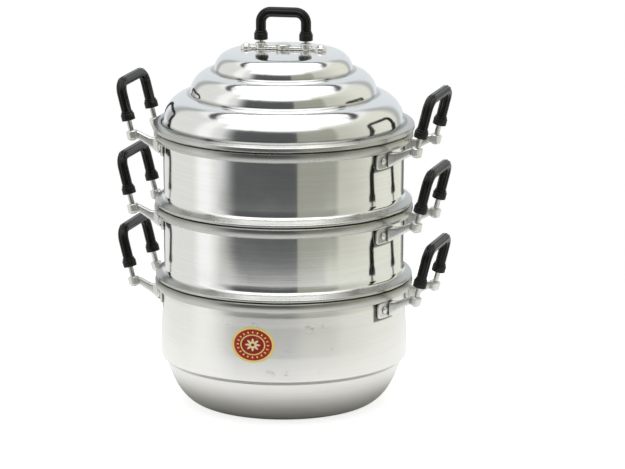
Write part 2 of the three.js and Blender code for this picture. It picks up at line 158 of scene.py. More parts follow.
def squared_circle(count: int, power: float) -> tuple[np.ndarray, np.ndarray]:
    """A circle pushed out towards its square: cosine and sine to a power below 1, signs kept."""
    angle = np.arange(count) * TURN / count
    across, up = np.cos(angle), np.sin(angle)
    return np.sign(across) * np.abs(across) ** power, np.sign(up) * np.abs(up) ** power


# Surfaces


@dataclass
class Shape:
    """A surface: points in millimetres, faces as rows of indices, a lay coordinate per point."""

    points: np.ndarray
    quads: np.ndarray
    triangles: np.ndarray
    lay: Optional[np.ndarray] = None

    def moved(self, matrix: Matrix) -> "Shape":
        """The shape under a placing matrix, its faces turned over where the matrix mirrors it."""
        m = np.array(matrix)
        points = self.points @ m[:3, :3].T + m[:3, 3]
        order = slice(None, None, -1) if np.linalg.det(m[:3, :3]) < 0 else slice(None)
        return Shape(points, self.quads[:, order], self.triangles[:, order], self.lay)

    def mesh(self, name: str) -> bpy.types.Mesh:
        """The shape as a mesh in metres."""
        made = bpy.data.meshes.new(name)
        faces = self.quads.tolist() + self.triangles.tolist()
        made.from_pydata((self.points * MM).tolist(), [], faces)
        return made


def joined(shapes: Sequence[Shape]) -> Shape:
    """Several shapes as one, each one's face indices raised by the number of points before it."""
    starts = np.cumsum([0] + [len(s.points) for s in shapes[:-1]])
    lays = [s.lay if s.lay is not None else s.points for s in shapes]
    return Shape(
        np.vstack([s.points for s in shapes]),
        np.vstack([s.quads + n for s, n in zip(shapes, starts)]),
        np.vstack([s.triangles + n for s, n in zip(shapes, starts)]),
        np.vstack(lays),
    )


def ringed(rings: np.ndarray, poles: Sequence[Optional[np.ndarray]] = (None, None),
           lay: Optional[np.ndarray] = None) -> Shape:
    """Rings of points joined by quads: points j and j + 1 of ring i join those of ring i + 1.

    Args:
        rings: An array of rings, points and coordinates.
        poles: Where the first and the last ring close to a point, if they do.
        lay: A lay coordinate for each point of the rings.

    Returns:
        The surface, facing outwards where rings run up and points run against the clock.
    """
    count, around = rings.shape[:2]
    i = np.arange(count - 1)[:, None] * around
    j = np.arange(around)[None, :]
    k = (j + 1) % around
    quads = np.stack([i + j, i + k, i + around + k, i + around + j], -1).reshape(-1, 4)
    points = [rings.reshape(-1, 3)]
    lays = [rings.reshape(-1, 3) if lay is None else lay.reshape(-1, 3)]
    triangles = [NO_TRIANGLES]
    total = count * around
    for pole, base, flip in ((poles[0], 0, True), (poles[1], (count - 1) * around, False)):
        if pole is None:
            continue
        fan = np.stack([np.full(around, total), base + j[0], base + k[0]], 1)
        triangles.append(fan[:, [0, 2, 1]] if flip else fan)
        points.append(np.array(pole, float)[None, :])
        lays.append(lays[0][base:base + around].mean(0, keepdims=True))
        total += 1
    return Shape(np.vstack(points), quads, np.vstack(triangles), np.vstack(lays))


def turned(line: np.ndarray, segments: int = SEGMENTS) -> Shape:
    """A line turned about Z: (radius, height) goes to (radius cos a, radius sin a, height)."""
    angle = np.arange(segments) * TURN / segments
    on_axis = line[:, 0] < ON_AXIS
    poles = [np.array([0, 0, line[end, 1]]) if on_axis[end] else None for end in (0, -1)]
    kept = line[~on_axis]
    rings = np.stack([
        kept[:, :1] * np.cos(angle),
        kept[:, :1] * np.sin(angle),
        np.repeat(kept[:, 1:], segments, 1),
    ], -1)
    return ringed(rings, poles)


def loft(sections: np.ndarray) -> Shape:
    """Rings carried from one end to the other, each end closed to its ring's middle."""
    return ringed(sections, (sections[0].mean(0), sections[-1].mean(0)))


def placed(name: str, data: bpy.types.ID) -> bpy.types.Object:
    """A new object at the origin that holds the data, linked to the scene."""
    made = bpy.data.objects.new(name, data)
    bpy.context.scene.collection.objects.link(made)
    return made


# Finishes


class Bench:
    """Adds and joins the shader nodes of one material."""

    def __init__(self, name: str) -> None:
        """Starts a material that holds one Principled shader."""
        self.material = bpy.data.materials.new(name)
        self.material.use_nodes = True
        self.tree = self.material.node_tree
        self.shader = next(n for n in self.tree.nodes if n.type == "BSDF_PRINCIPLED")

    def node(self, kind: str, **settings: object) -> bpy.types.Node:
        """A new node with its settings."""
        made = self.tree.nodes.new(kind)
        for key, value in settings.items():
            setattr(made, key, value)
        return made

    def feed(self, socket: Socket, value: object) -> None:
        """Links a socket, or sets its number, vector or opaque colour."""
        if isinstance(value, Socket):
            self.tree.links.new(value, socket)
        elif socket.type == "RGBA":
            socket.default_value = (*value, 1.0)
        else:
            socket.default_value = value

    def filled(self, node: bpy.types.Node, values: Sequence[object]) -> bpy.types.Node:
        """The node with its first inputs fed in their order."""
        for socket, value in zip(node.inputs, values):
            self.feed(socket, value)
        return node

    def maths(self, operation: str, *values: object) -> Socket:
        """One step of arithmetic on one to three numbers."""
        return self.filled(self.node("ShaderNodeMath", operation=operation), values).outputs[0]

    def product(self, *values: object) -> Socket:
        """Numbers multiplied together."""
        return reduce(lambda one, other: self.maths("MULTIPLY", one, other), values)

    def most(self, *values: object) -> Socket:
        """The largest of some numbers."""
        return reduce(lambda one, other: self.maths("MAXIMUM", one, other), values)

    def vectors(self, operation: str, *values: object) -> Socket:
        """One step of arithmetic on vectors, which gives a number where it measures them."""
        made = self.filled(self.node("ShaderNodeVectorMath", operation=operation), values)
        return made.outputs["Value" if operation in ("LENGTH", "DISTANCE") else "Vector"]

    def scaled(self, vector: object, by: tuple[float, float, float]) -> Socket:
        """A vector times another, part by part."""
        return self.vectors("MULTIPLY", vector, by)

    def split(self, vector: object) -> tuple[Socket, Socket, Socket]:
        """A vector's X, Y and Z."""
        return tuple(self.filled(self.node("ShaderNodeSeparateXYZ"), (vector,)).outputs)

    def vector(self, x: object, y: object, z: object) -> Socket:
        """A vector from its X, Y and Z."""
        return self.filled(self.node("ShaderNodeCombineXYZ"), (x, y, z)).outputs[0]

    def noise(self, vector: object, scale: float, detail: float = 3.0, roughness: float = 0.5,
              w: Optional[Socket] = None) -> Socket:
        """Noise of about 0 to 1, in four dimensions where W is given."""
        made = self.node("ShaderNodeTexNoise", noise_dimensions="3D" if w is None else "4D")
        self.feed(made.inputs["Vector"], vector)
        if w is not None:
            self.feed(made.inputs["W"], w)
        made.inputs["Scale"].default_value = scale
        made.inputs["Detail"].default_value = detail
        made.inputs["Roughness"].default_value = roughness
        return made.outputs[0]

    def spread(self, value: object, low: float, high: float, to_low: float = 0.0,
               to_high: float = 1.0) -> Socket:
        """A smooth step from one value to another as the input goes from low to high."""
        made = self.node("ShaderNodeMapRange", interpolation_type="SMOOTHSTEP")
        return self.filled(made, (value, low, high, to_low, to_high)).outputs[0]

    def window(self, value: object, start: float, full: float, fading: float, end: float) -> Socket:
        """A smooth window: 0 up to start, 1 from full to fading and 0 again from end."""
        opening = self.spread(value, start, full)
        return self.product(opening, self.spread(value, fading, end, 1.0, 0.0))

    def swing(self, value: object, width: float, middle: float) -> Socket:
        """A value of 0 to 1 turned into one that swings by a width round a middle."""
        return self.maths("MULTIPLY_ADD", value, width, middle - width / 2)

    def blend(self, share: object, first: object, second: object) -> Socket:
        """Two colours mixed by a share."""
        made = self.node("ShaderNodeMix", data_type="RGBA")
        self.feed(made.inputs["Factor"], share)
        self.feed(made.inputs[6], first)
        self.feed(made.inputs[7], second)
        return made.outputs[2]

    def place(self) -> Socket:
        """The object coordinate."""
        return self.node("ShaderNodeTexCoord").outputs["Object"]

    def whereabouts(self) -> tuple[Socket, Socket, Socket]:
        """The distance from the axis, the distance from the plane Y = 0 and the height, in mm."""
        place = self.scaled(self.place(), (1 / MM, 1 / MM, 1 / MM))
        reach = self.vectors("LENGTH", self.scaled(place, (1.0, 1.0, 0.0)))
        _, side, level = self.split(place)
        return reach, self.maths("ABSOLUTE", side), level

    def lay(self) -> Socket:
        """A swept piece's lay coordinate: across its section in X and Y, along it in Z."""
        return self.node("ShaderNodeAttribute", attribute_name="lay").outputs["Vector"]

    def pointiness(self) -> Socket:
        """How far the surface bulges: 0.5 where it is flat, more on ridges."""
        return self.node("ShaderNodeNewGeometry").outputs["Pointiness"]

    def dent(self, height: Socket, strength: float, distance: float) -> None:
        """Bumps the surface by a height."""
        made = self.node("ShaderNodeBump")
        made.inputs["Strength"].default_value = strength
        made.inputs["Distance"].default_value = distance
        self.feed(made.inputs["Height"], height)
        self.feed(self.shader.inputs["Normal"], made.outputs[0])

    def set(self, **values: object) -> None:
        """Feeds the shader's sockets, named with underscores for spaces."""
        for key, value in values.items():
            self.feed(self.shader.inputs[key.replace("_", " ")], value)


def shaded(colour: Colour, by: float) -> Colour:
    """A colour times a number."""
    return (colour[0] * by, colour[1] * by, colour[2] * by)


@dataclass(frozen=True)
class Mark:
    """A smudge: turn about the axis in degrees, height, half length and depth of colour."""

    turn: float
    height: float
    reach: float
    depth: float


@dataclass(frozen=True)
class Smudges:
    """Scribbled stains on a wall: streaks of noise that show near the marks' places only."""

    marks: tuple[Mark, ...]
    colour: Colour = (0.36, 0.33, 0.25)
    roughness: float = 0.2
    wall: float = 143.0
    flatness: float = 1.4
    streak_scale: float = 130.0
    streak_flatness: float = 1.7
    streak_edge: Pair = (0.46, 0.62)

    def mask(self, bench: Bench) -> Socket:
        """The stains' share of the colour, strongest in the middle of each mark."""
        grain = bench.scaled(bench.place(), (1.0, 1.0, self.streak_flatness))
        streaks = bench.spread(bench.noise(grain, self.streak_scale, 5.0, 0.7), *self.streak_edge)
        place = bench.scaled(bench.place(), (1.0, 1.0, self.flatness))
        spots = []
        for mark in self.marks:
            angle, wall = math.radians(mark.turn), self.wall * MM
            centre = (wall * math.cos(angle), wall * math.sin(angle),
                      mark.height * MM * self.flatness)
            away = bench.vectors("DISTANCE", place, centre)
            spots.append(bench.spread(away, 0.0, mark.reach * MM, mark.depth, 0.0))
        return bench.product(bench.most(*spots), streaks)


@dataclass(frozen=True)
class PaintedShade:
    """Painted shade: the metal's colour darkened where shade falls. Its sizes are in millimetres.

    It is darkest at each seam between vessels, as a painted shadow that fades down the rim's face.
    It also lies in the creases between the lid's steps, given by radius, height and depth of
    colour, and round each lug's foot, as painted shade.
    """

    # the colour of the painted shade
    colour: Colour = (0.06, 0.06, 0.045)
    wander: float = 1.4
    wander_scale: float = 45.0
    # painted shade: a dark line at each seam and a painted shadow fading down the rim's face below
    # it
    seams: tuple[float, ...] = (150.0, 237.5, 325.0)
    seam_line: Fade = (0.6, 1.8, 0.9, 0.0)
    seam_below: Fade = (-7.0, -0.8, 0.0, 0.5)
    seam_above: Fade = (0.0, 0.6, 1.0, 0.0)
    rim_from: Pair = (144.0, 147.0)
    # painted shade in the creases between the lid's steps
    creases: tuple[tuple[float, float, float], ...] = (
        (141.5, 333.5, 0.75), (110.0, 366.2, 0.5), (82.2, 393.8, 0.55))
    crease_edge: Pair = (0.8, 4.2)
    # painted shade round each lug's foot
    halo_depth: float = 0.85
    halo_side: Window = (25.0, 28.0, 61.0, 64.0)
    halo_level: Window = (-36.0, -33.5, -9.0, -6.0)
    halo_reach: Window = (139.1, 139.4, 144.6, 145.2)

    def mask(self, bench: Bench, reach: Socket, side: Socket, level: Socket) -> Socket:
        """The painted shade's share of the colour.

        Args:
            bench: The material's bench.
            reach: The distance from the axis.
            side: The distance from the plane Y = 0.
            level: The height.

        Returns:
            The larger of the seams', the creases' and the halos' shares.
        """
        cloud = bench.noise(bench.place(), self.wander_scale, 4.0, 0.6)
        ragged = bench.swing(cloud, self.wander, 0.0)
        lines, bands = [], []
        for seam in self.seams:
            above = bench.maths("ADD", bench.maths("SUBTRACT", level, seam), ragged)
            lines += [
                bench.spread(bench.maths("ABSOLUTE", above), *self.seam_line),
                bench.product(bench.spread(above, *self.seam_below),
                              bench.spread(above, *self.seam_above)),
            ]
            bands.append(bench.window(level, *(seam + edge for edge in self.halo_level)))
        seams = bench.product(bench.most(*lines), bench.spread(reach, *self.rim_from))
        creases = []
        for radius, height, depth in self.creases:
            away = bench.vectors("DISTANCE", bench.vector(reach, level, 0.0), (radius, height, 0.0))
            near = bench.maths("ADD", away, ragged)
            creases.append(bench.spread(near, *self.crease_edge, depth, 0.0))
        halo = bench.product(bench.window(side, *self.halo_side), bench.most(*bands),
                             bench.window(reach, *self.halo_reach), self.halo_depth)
        return bench.most(seams, *creases, halo)


@dataclass(frozen=True)
class WearAndShade:
    """Metal worn dull from a radius outwards, its colour darkened there as painted shade: the
    rolled rims, the lips and the lid's flange.
    """

    start: float = 140.6
    width: float = 2.5
    # the darker colour is painted shade
    colour: Colour = (0.43, 0.43, 0.40)
    depth: float = 0.8
    roughness: float = 0.16


@dataclass(frozen=True)
class SpunAluminium:
    """Sheet aluminium turned on a lathe: fine lines run round it and blur reflections across."""

    name: str
    colour: Colour
    roughness: float
    anisotropy: float
    anisotropy_turn: float = 0.25
    line_scale: float = 420.0
    line_depth: float = 0.00003
    line_strength: float = 0.6
    line_shade: float = 0.05
    line_edge: Pair = (0.3, 0.7)
    haze: float = 0.05
    cloud_scale: float = 14.0
    cloud_edge: Pair = (0.35, 0.75)
    smudges: Optional[Smudges] = None
    # painted shade at the seams, in the lid's creases and round the lug feet
    painted_shade: PaintedShade = PaintedShade()
    # real dulling, and painted shade on the rims and lips
    wear_and_shade: WearAndShade = WearAndShade()

    def lines(self, bench: Bench) -> Socket:
        """Noise that changes quickly with radius and height and slowly round the axis."""
        place = bench.place()
        flat = bench.scaled(place, (1.0, 1.0, 0.0))
        level = bench.product(bench.split(place)[2], self.line_scale)
        reach = bench.product(bench.vectors("LENGTH", flat), self.line_scale)
        way = bench.vectors("NORMALIZE", flat)
        where = bench.vectors("ADD", way, bench.vector(0.0, 0.0, level))
        return bench.noise(where, 1.0, 5.0, 0.65, w=reach)

    def material(self) -> bpy.types.Material:
        """The finish as a material."""
        bench = Bench(self.name)
        lines = self.lines(bench)
        cloud = bench.noise(bench.place(), self.cloud_scale, 4.0, 0.6)
        colour = bench.blend(bench.spread(lines, *self.line_edge),
                             shaded(self.colour, 1 - self.line_shade), self.colour)
        rough = bench.swing(lines, self.haze, self.roughness)
        rough = bench.maths("MULTIPLY_ADD", bench.spread(cloud, *self.cloud_edge), self.haze, rough)
        if self.smudges is not None:
            spots = self.smudges.mask(bench)
            colour = bench.blend(spots, colour, self.smudges.colour)
            rough = bench.maths("MULTIPLY_ADD", spots, self.smudges.roughness, rough)
        reach, side, level = bench.whereabouts()
        # worn dull, with the colour darkened as painted shade on the rims and lips
        worn_and_shaded = bench.spread(reach, self.wear_and_shade.start, self.wear_and_shade.start + self.wear_and_shade.width)
        colour = bench.blend(bench.product(worn_and_shaded, self.wear_and_shade.depth), colour, self.wear_and_shade.colour)
        rough = bench.maths("MULTIPLY_ADD", worn_and_shaded, self.wear_and_shade.roughness, rough)
        # painted shade: colour darkened at the seams, in the lid's creases and round the lug feet
        dark = self.painted_shade.mask(bench, reach, side, level)
        colour = bench.blend(dark, colour, self.painted_shade.colour)
        tangent = bench.node("ShaderNodeTangent", direction_type="RADIAL", axis="Z")
        bench.set(Base_Color=colour, Metallic=1.0, Roughness=rough, Anisotropic=self.anisotropy,
                  Anisotropic_Rotation=self.anisotropy_turn, Tangent=tangent.outputs[0])
        bench.dent(lines, self.line_strength, self.line_depth)
        return bench.material


@dataclass(frozen=True)
class CastAluminium:
    """Tumbled cast aluminium: a fine sandy skin, with painted shade that greys the corners and
    leaves the edges brighter.
    """

    name: str
    colour: Colour
    roughness: float
    # share of the colour left in the painted shade of corners
    corner_shade: float = 0.38
    corner_edge: Pair = (0.44, 0.52)
    cloud_scale: float = 90.0
    cloud_swing: float = 0.16
    sand_scale: float = 900.0
    sand_strength: float = 0.5
    sand_depth: float = 0.00012

    def material(self) -> bpy.types.Material:
        """The finish as a material."""
        bench = Bench(self.name)
        sand = bench.noise(bench.place(), self.sand_scale, 5.0, 0.6)
        cloud = bench.noise(bench.place(), self.cloud_scale)
        # painted shade: colour darkened in corners and hollows, where pointiness is low
        ridge = bench.spread(bench.pointiness(), *self.corner_edge)
        colour = bench.blend(ridge, shaded(self.colour, self.corner_shade), self.colour)
        rough = bench.swing(cloud, self.cloud_swing, self.roughness)
        bench.set(Base_Color=colour, Metallic=1.0, Roughness=rough)
        bench.dent(sand, self.sand_strength, self.sand_depth)
        return bench.material


@dataclass(frozen=True)
class DrawnSteel:
    """Plated rod with faint lines along its length."""

    name: str
    colour: Colour
    roughness: float
    dull: float = 0.8
    cloud_scale: float = 120.0
    cloud_edge: Pair = (0.4, 0.7)
    streak_scale: float = 1400.0
    streak_stretch: float = 0.03
    streak_swing: float = 0.12
    streak_strength: float = 0.4
    streak_depth: float = 0.00003

    def material(self) -> bpy.types.Material:
        """The finish as a material."""
        bench = Bench(self.name)
        along = bench.scaled(bench.lay(), (1.0, 1.0, self.streak_stretch))
        streaks = bench.noise(along, self.streak_scale, 4.0)
        cloud = bench.spread(bench.noise(bench.place(), self.cloud_scale), *self.cloud_edge)
        colour = bench.blend(cloud, self.colour, shaded(self.colour, self.dull))
        rough = bench.swing(streaks, self.streak_swing, self.roughness)
        bench.set(Base_Color=colour, Metallic=1.0, Roughness=rough)
        bench.dent(streaks, self.streak_strength, self.streak_depth)
        return bench.material


@dataclass(frozen=True)
class BlackMoulding:
    """Glossy black thermoset: a faint swirl in the colour, and a painted highlight that makes the
    ridges a little brighter.
    """

    name: str
    colour: Colour
    roughness: float
    specular: float = 0.16
    coat: float = 0.1
    coat_roughness: float = 0.12
    swirl_scale: float = 60.0
    swirl_edge: Pair = (0.4, 0.75)
    swirl_shade: float = 1.7
    # painted highlight along the ridges
    ridge_highlight_edge: Pair = (0.515, 0.57)
    ridge_highlight_gain: float = 7.0
    grain_scale: float = 700.0
    grain_stretch: float = 0.2
    grain_swing: float = 0.18
    grain_strength: float = 0.35
    grain_depth: float = 0.00006

    def material(self) -> bpy.types.Material:
        """The finish as a material."""
        bench = Bench(self.name)
        swirl = bench.noise(bench.place(), self.swirl_scale, 5.0, 0.6)
        along = bench.scaled(bench.lay(), (1.0, 1.0, self.grain_stretch))
        grain = bench.noise(along, self.grain_scale, 4.0)
        colour = bench.blend(bench.spread(swirl, *self.swirl_edge), self.colour,
                             shaded(self.colour, self.swirl_shade))
        # painted highlight: ridges made brighter where pointiness is high
        colour = bench.blend(bench.spread(bench.pointiness(), *self.ridge_highlight_edge), colour,
                             shaded(self.colour, self.ridge_highlight_gain))
        rough = bench.swing(grain, self.grain_swing, self.roughness)
        bench.set(Base_Color=colour, Roughness=rough, Specular_IOR_Level=self.specular,
                  Coat_Weight=self.coat, Coat_Roughness=self.coat_roughness)
        bench.dent(grain, self.grain_strength, self.grain_depth)
        return bench.material


@dataclass(frozen=True)
class PrintedSticker:
    """A printed oval: a pale rim, a red band with a row of dots, and a plain eight-petalled flower.

    Its radii are shares of the oval's.
    """

    name: str
    rim: Colour = (0.86, 0.72, 0.24)
    band: Colour = (0.40, 0.014, 0.010)
    field: Colour = (0.32, 0.010, 0.010)
    flower: Colour = (0.86, 0.76, 0.42)
    faded: Colour = (0.75, 0.6, 0.4)
    petals: int = 8
    petal_reach: float = 0.26
    petal_wave: float = 0.09
    petal_edge: Pair = (-0.01, 0.015)
    heart_edge: Fade = (0.07, 0.09, 1.0, 0.0)
    band_edge: Pair = (0.52, 0.54)
    line_radius: float = 0.54
    line_edge: Fade = (0.02, 0.035, 1.0, 0.0)
    dots: int = 20
    dot_radius: float = 0.69
    dot_ends: Pair = (0.5, 0.75)
    dot_edge: Fade = (0.04, 0.06, 1.0, 0.0)
    rim_edge: Pair = (0.855, 0.875)
    fade_scale: float = 220.0
    fade_edge: Fade = (0.5, 0.85, 0.0, 0.12)
    gloss: float = 0.3
    roughness: float = 0.4
    roughness_swing: float = 0.2
    wrinkle_strength: float = 0.2
    wrinkle_depth: float = 0.00005

    def material(self) -> bpy.types.Material:
        """The finish as a material. Its UV runs from -1 to 1 over the oval."""
        bench = Bench(self.name)
        uv = bench.node("ShaderNodeUVMap", uv_map="oval").outputs[0]
        x, y, _ = bench.split(uv)
        reach = bench.vectors("LENGTH", uv)
        angle = bench.maths("ARCTAN2", y, x)

        def wave(count: int) -> Socket:
            """The cosine of a number of times the angle."""
            return bench.maths("COSINE", bench.product(angle, float(count)))

        def beside(radius: float) -> Socket:
            """The distance from a circle."""
            return bench.maths("ABSOLUTE", bench.maths("SUBTRACT", reach, radius))

        outline = bench.maths("MULTIPLY_ADD", wave(self.petals), self.petal_wave, self.petal_reach)
        layers = (
            (bench.spread(beside(self.line_radius), *self.line_edge), self.rim),
            (bench.product(bench.spread(wave(self.dots), *self.dot_ends),
                           bench.spread(beside(self.dot_radius), *self.dot_edge)), self.rim),
            (bench.spread(bench.maths("SUBTRACT", outline, reach), *self.petal_edge), self.flower),
            (bench.spread(reach, *self.heart_edge), self.field),
            (bench.spread(reach, *self.rim_edge), self.rim),
        )
        colour = bench.blend(bench.spread(reach, *self.band_edge), self.field, self.band)
        for share, paint in layers:
            colour = bench.blend(share, colour, paint)
        fade = bench.noise(bench.place(), self.fade_scale, 4.0)
        colour = bench.blend(bench.spread(fade, *self.fade_edge), colour, self.faded)
        rough = bench.swing(fade, self.roughness_swing, self.roughness)
        bench.set(Base_Color=colour, Roughness=rough, Specular_IOR_Level=self.gloss)
        bench.dent(fade, self.wrinkle_strength, self.wrinkle_depth)
        return bench.material


class Finish(Enum):
    """The finishes of the steamer's pieces."""

    POLISHED = "polished"
    SATIN = "satin"
    CAST = "cast"
    RIVET = "rivet"
    ROD = "rod"
    GRIP = "grip"
    STICKER = "sticker"


SLOTS = {
    Finish.POLISHED: "polished_sheet",
    Finish.SATIN: "satin_sheet",
    Finish.CAST: "cast_fitting",
    Finish.RIVET: "rivet",
    Finish.ROD: "steel_rod",
    Finish.GRIP: "moulded_grip",
    Finish.STICKER: "sticker",
}

POT_SMUDGES = Smudges((
    Mark(-60.0, 118.0, 13.0, 0.75),
    Mark(-53.5, 120.0, 8.0, 0.5),
    Mark(-86.0, 124.0, 9.0, 0.3),
    Mark(-101.0, 92.0, 6.0, 0.6),
    Mark(-71.0, 93.0, 7.0, 0.45),
    Mark(-49.0, 92.0, 7.0, 0.6),
    Mark(-79.0, 66.5, 8.0, 0.65),
    Mark(-72.0, 67.0, 7.0, 0.7),
    Mark(-56.0, 68.0, 7.0, 0.4),
    Mark(-101.0, 122.0, 8.0, 0.35),
))


def make_finishes() -> dict[Finish, bpy.types.Material]:
    """Every finish's material, made once."""
    polished = SpunAluminium(SLOTS[Finish.POLISHED], (0.86, 0.865, 0.86), 0.10, 0.55)
    satin = SpunAluminium(
        SLOTS[Finish.SATIN], (0.87, 0.865, 0.835), 0.29, 0.5,
        line_depth=0.00004, line_shade=0.04, haze=0.06, smudges=POT_SMUDGES,
        # painted shade round the pot's lug feet, fitted to its wall's radius
        painted_shade=PaintedShade(halo_reach=(140.8, 141.1, 144.6, 145.2)),
        # on the pot the rim is only darkened as painted shade, no duller
        wear_and_shade=WearAndShade(start=145.2, roughness=0.0),
    )
    return {
        Finish.POLISHED: polished.material(),
        Finish.SATIN: satin.material(),
        Finish.CAST: CastAluminium(SLOTS[Finish.CAST], (0.80, 0.80, 0.77), 0.36).material(),
        Finish.RIVET: CastAluminium(SLOTS[Finish.RIVET], (0.78, 0.78, 0.76), 0.34).material(),
        Finish.ROD: DrawnSteel(SLOTS[Finish.ROD], (0.66, 0.66, 0.63), 0.24).material(),
        Finish.GRIP: BlackMoulding(SLOTS[Finish.GRIP], (0.007, 0.007, 0.006), 0.17).material(),
        Finish.STICKER: PrintedSticker(SLOTS[Finish.STICKER]).material(),
    }


# Pieces


@dataclass
class Workshop:
    """Makes pieces of the object from shapes and keeps count of them."""

    finishes: dict[Finish, bpy.types.Material]
    smooth_below: float = 36.0
    weld_within: float = 2e-5
    made: int = 0

    def piece(self, name: str, shape: Shape, finish: Finish, body: str, nodes: Sequence[str],
              weld: bool = False) -> bpy.types.Object:
        """A piece at the origin that rides on a body and stands for CAD nodes.

        Args:
            name: The piece's name.
            shape: Its surface, in millimetres.
            finish: Its finish.
            body: The body that carries it.
            nodes: The CAD nodes it stands for.
            weld: Whether points that coincide are merged.

        Returns:
            The piece.
        """
        mesh = shape.mesh(name)
        if shape.lay is not None:
            lay = mesh.attributes.new("lay", "FLOAT_VECTOR", "POINT")
            lay.data.foreach_set("vector", (shape.lay * MM).astype(np.float32).ravel())
        if weld:
            work = bmesh.new()
            work.from_mesh(mesh)
            bmesh.ops.remove_doubles(work, verts=work.verts, dist=self.weld_within)
            work.to_mesh(mesh)
            work.free()
        mesh.update()
        mesh.shade_smooth()
        mesh.set_sharp_from_angle(angle=math.radians(self.smooth_below))
        mesh.materials.append(self.finishes[finish])
        obj = placed(name, mesh)
        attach(obj, body)
        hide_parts(*nodes)
        self.made += 1
        log.info("%s: %d faces on %s", name, len(mesh.polygons), body)
        return obj


def cast_skin(shapes: Sequence[Shape], voxel: float, passes: int) -> Shape:
    """Several closed shapes melted into one casting: remeshed by voxels, then smoothed.

    Args:
        shapes: Closed shapes that overlap.
        voxel: The voxel's size.
        passes: How often each point moves halfway to its neighbours' mean.

    Returns:
        The casting's skin.
    """
    mesh = joined(shapes).mesh("casting")
    obj = placed("casting", mesh)
    remesh = obj.modifiers.new("melt", "REMESH")
    remesh.mode = "VOXEL"
    remesh.voxel_size = voxel * MM
    smooth = obj.modifiers.new("tumble", "SMOOTH")
    smooth.factor = 0.5
    smooth.iterations = passes
    done = obj.evaluated_get(bpy.context.evaluated_depsgraph_get()).to_mesh()
    points = np.empty(len(done.vertices) * 3)
    done.vertices.foreach_get("co", points)
    counts = np.empty(len(done.polygons), int)
    done.polygons.foreach_get("loop_total", counts)
    corners = np.empty(len(done.loops), int)
    done.loops.foreach_get("vertex_index", corners)
    if not np.all(counts == 4):
        raise ValueError("the remesh gave faces that aren't quads")
    bpy.data.objects.remove(obj)
    bpy.data.meshes.remove(mesh)
    return Shape(points.reshape(-1, 3) / MM, corners.reshape(-1, 4), NO_TRIANGLES)


@dataclass(frozen=True)
class Bail:
    """A bent handle: legs, corners and a bar, drawn in the YZ plane from a foot at the left leg."""

    spacing: float
    foot: float
    bar: float
    corner: float
    leg_steps: int = 4
    bend_steps: int = 12
    bar_steps: int = 10

    @property
    def leg(self) -> float:
        """Length of a straight leg."""
        return self.bar - self.corner - self.foot

    @property
    def bend(self) -> float:
        """Length of a corner's arc."""
        return self.corner * math.pi / 2

    @property
    def length(self) -> float:
        """Length of the whole centre line."""
        return 2 * (self.leg + self.bend) + self.spacing - 2 * self.corner

    def follow(self, s: np.ndarray) -> tuple[np.ndarray, np.ndarray]:
        """Places and directions on the centre line.

        The second half mirrors the first in Y. Up the leg Y keeps minus half the spacing, round the
        corner the angle grows by s over its radius, and along the bar Z keeps the bar's height.

        Args:
            s: Distances from the first foot.

        Returns:
            Centre points and unit tangents, one row for each distance.
        """
        half = self.spacing / 2
        back = s > self.length / 2
        t = np.where(back, self.length - s, s)
        turn = np.clip((t - self.leg) / self.corner, 0, math.pi / 2)
        run = np.maximum(t - self.leg - self.bend, 0)
        y = -half + self.corner * (1 - np.cos(turn)) + run
        z = self.foot + np.minimum(t, self.leg) + self.corner * np.sin(turn)
        centre = np.stack([np.zeros_like(t), np.where(back, -y, y), z], 1)
        along = np.where(back, -1, 1) * np.cos(turn)
        tangent = np.stack([np.zeros_like(t), np.sin(turn), along], 1)
        return centre, tangent

    def stations(self) -> np.ndarray:
        """Distances that follow the legs, corners and bar."""
        first = np.concatenate([
            np.linspace(0, self.leg, self.leg_steps, endpoint=False),
            self.leg + np.linspace(0, self.bend, self.bend_steps, endpoint=False),
            np.linspace(self.leg + self.bend, self.length / 2, self.bar_steps),
        ])
        return np.concatenate([first, (self.length - first[:-1])[::-1]])

    def sweep(self, ends: np.ndarray, radius: float, clear: float, around: int,
              flutes: int = 1, flute: float = 0.0) -> Shape:
        """A round section carried along the bail, with the same turned end at both feet.

        At distance s and angle a the point is the centre plus rho times (cos a across, sin a out of
        the bail's plane). rho is the radius less the flute's depth times (1 - cos(n a)) / 2.

        Args:
            ends: Distance from the foot and radius of each ring of an end.
            radius: The radius between the ends.
            clear: How far the plain part's first ring keeps from the end's last.
            around: Number of points round the section.
            flutes: Number of flutes round the plain part.
            flute: Their depth.

        Returns:
            The closed surface, whose lay coordinate unrolls it along Z.
        """
        margin = ends[-1, 0] + clear
        body = self.stations()
        body = body[(body > margin) & (body < self.length - margin)]
        s = np.concatenate([ends[:, 0], body, (self.length - ends[:, 0])[::-1]])
        radii = np.concatenate([ends[:, 1], np.full(len(body), radius), ends[::-1, 1]])
        depth = np.zeros(len(s))
        depth[len(ends):-len(ends)] = flute
        centre, tangent = self.follow(s)
        out = np.array([1.0, 0.0, 0.0])
        across = np.cross(out, tangent)
        angle = np.arange(around) * TURN / around
        rho = radii[:, None] - depth[:, None] * (1 - np.cos(flutes * angle))[None, :] / 2
        wide = rho * np.cos(angle)
        deep = rho * np.sin(angle)
        rings = centre[:, None, :] + wide[..., None] * across[:, None, :] + deep[..., None] * out
        lay = np.stack([wide, deep, np.repeat(s[:, None], around, 1)], -1)
        return ringed(rings, (centre[0], centre[-1]), lay)


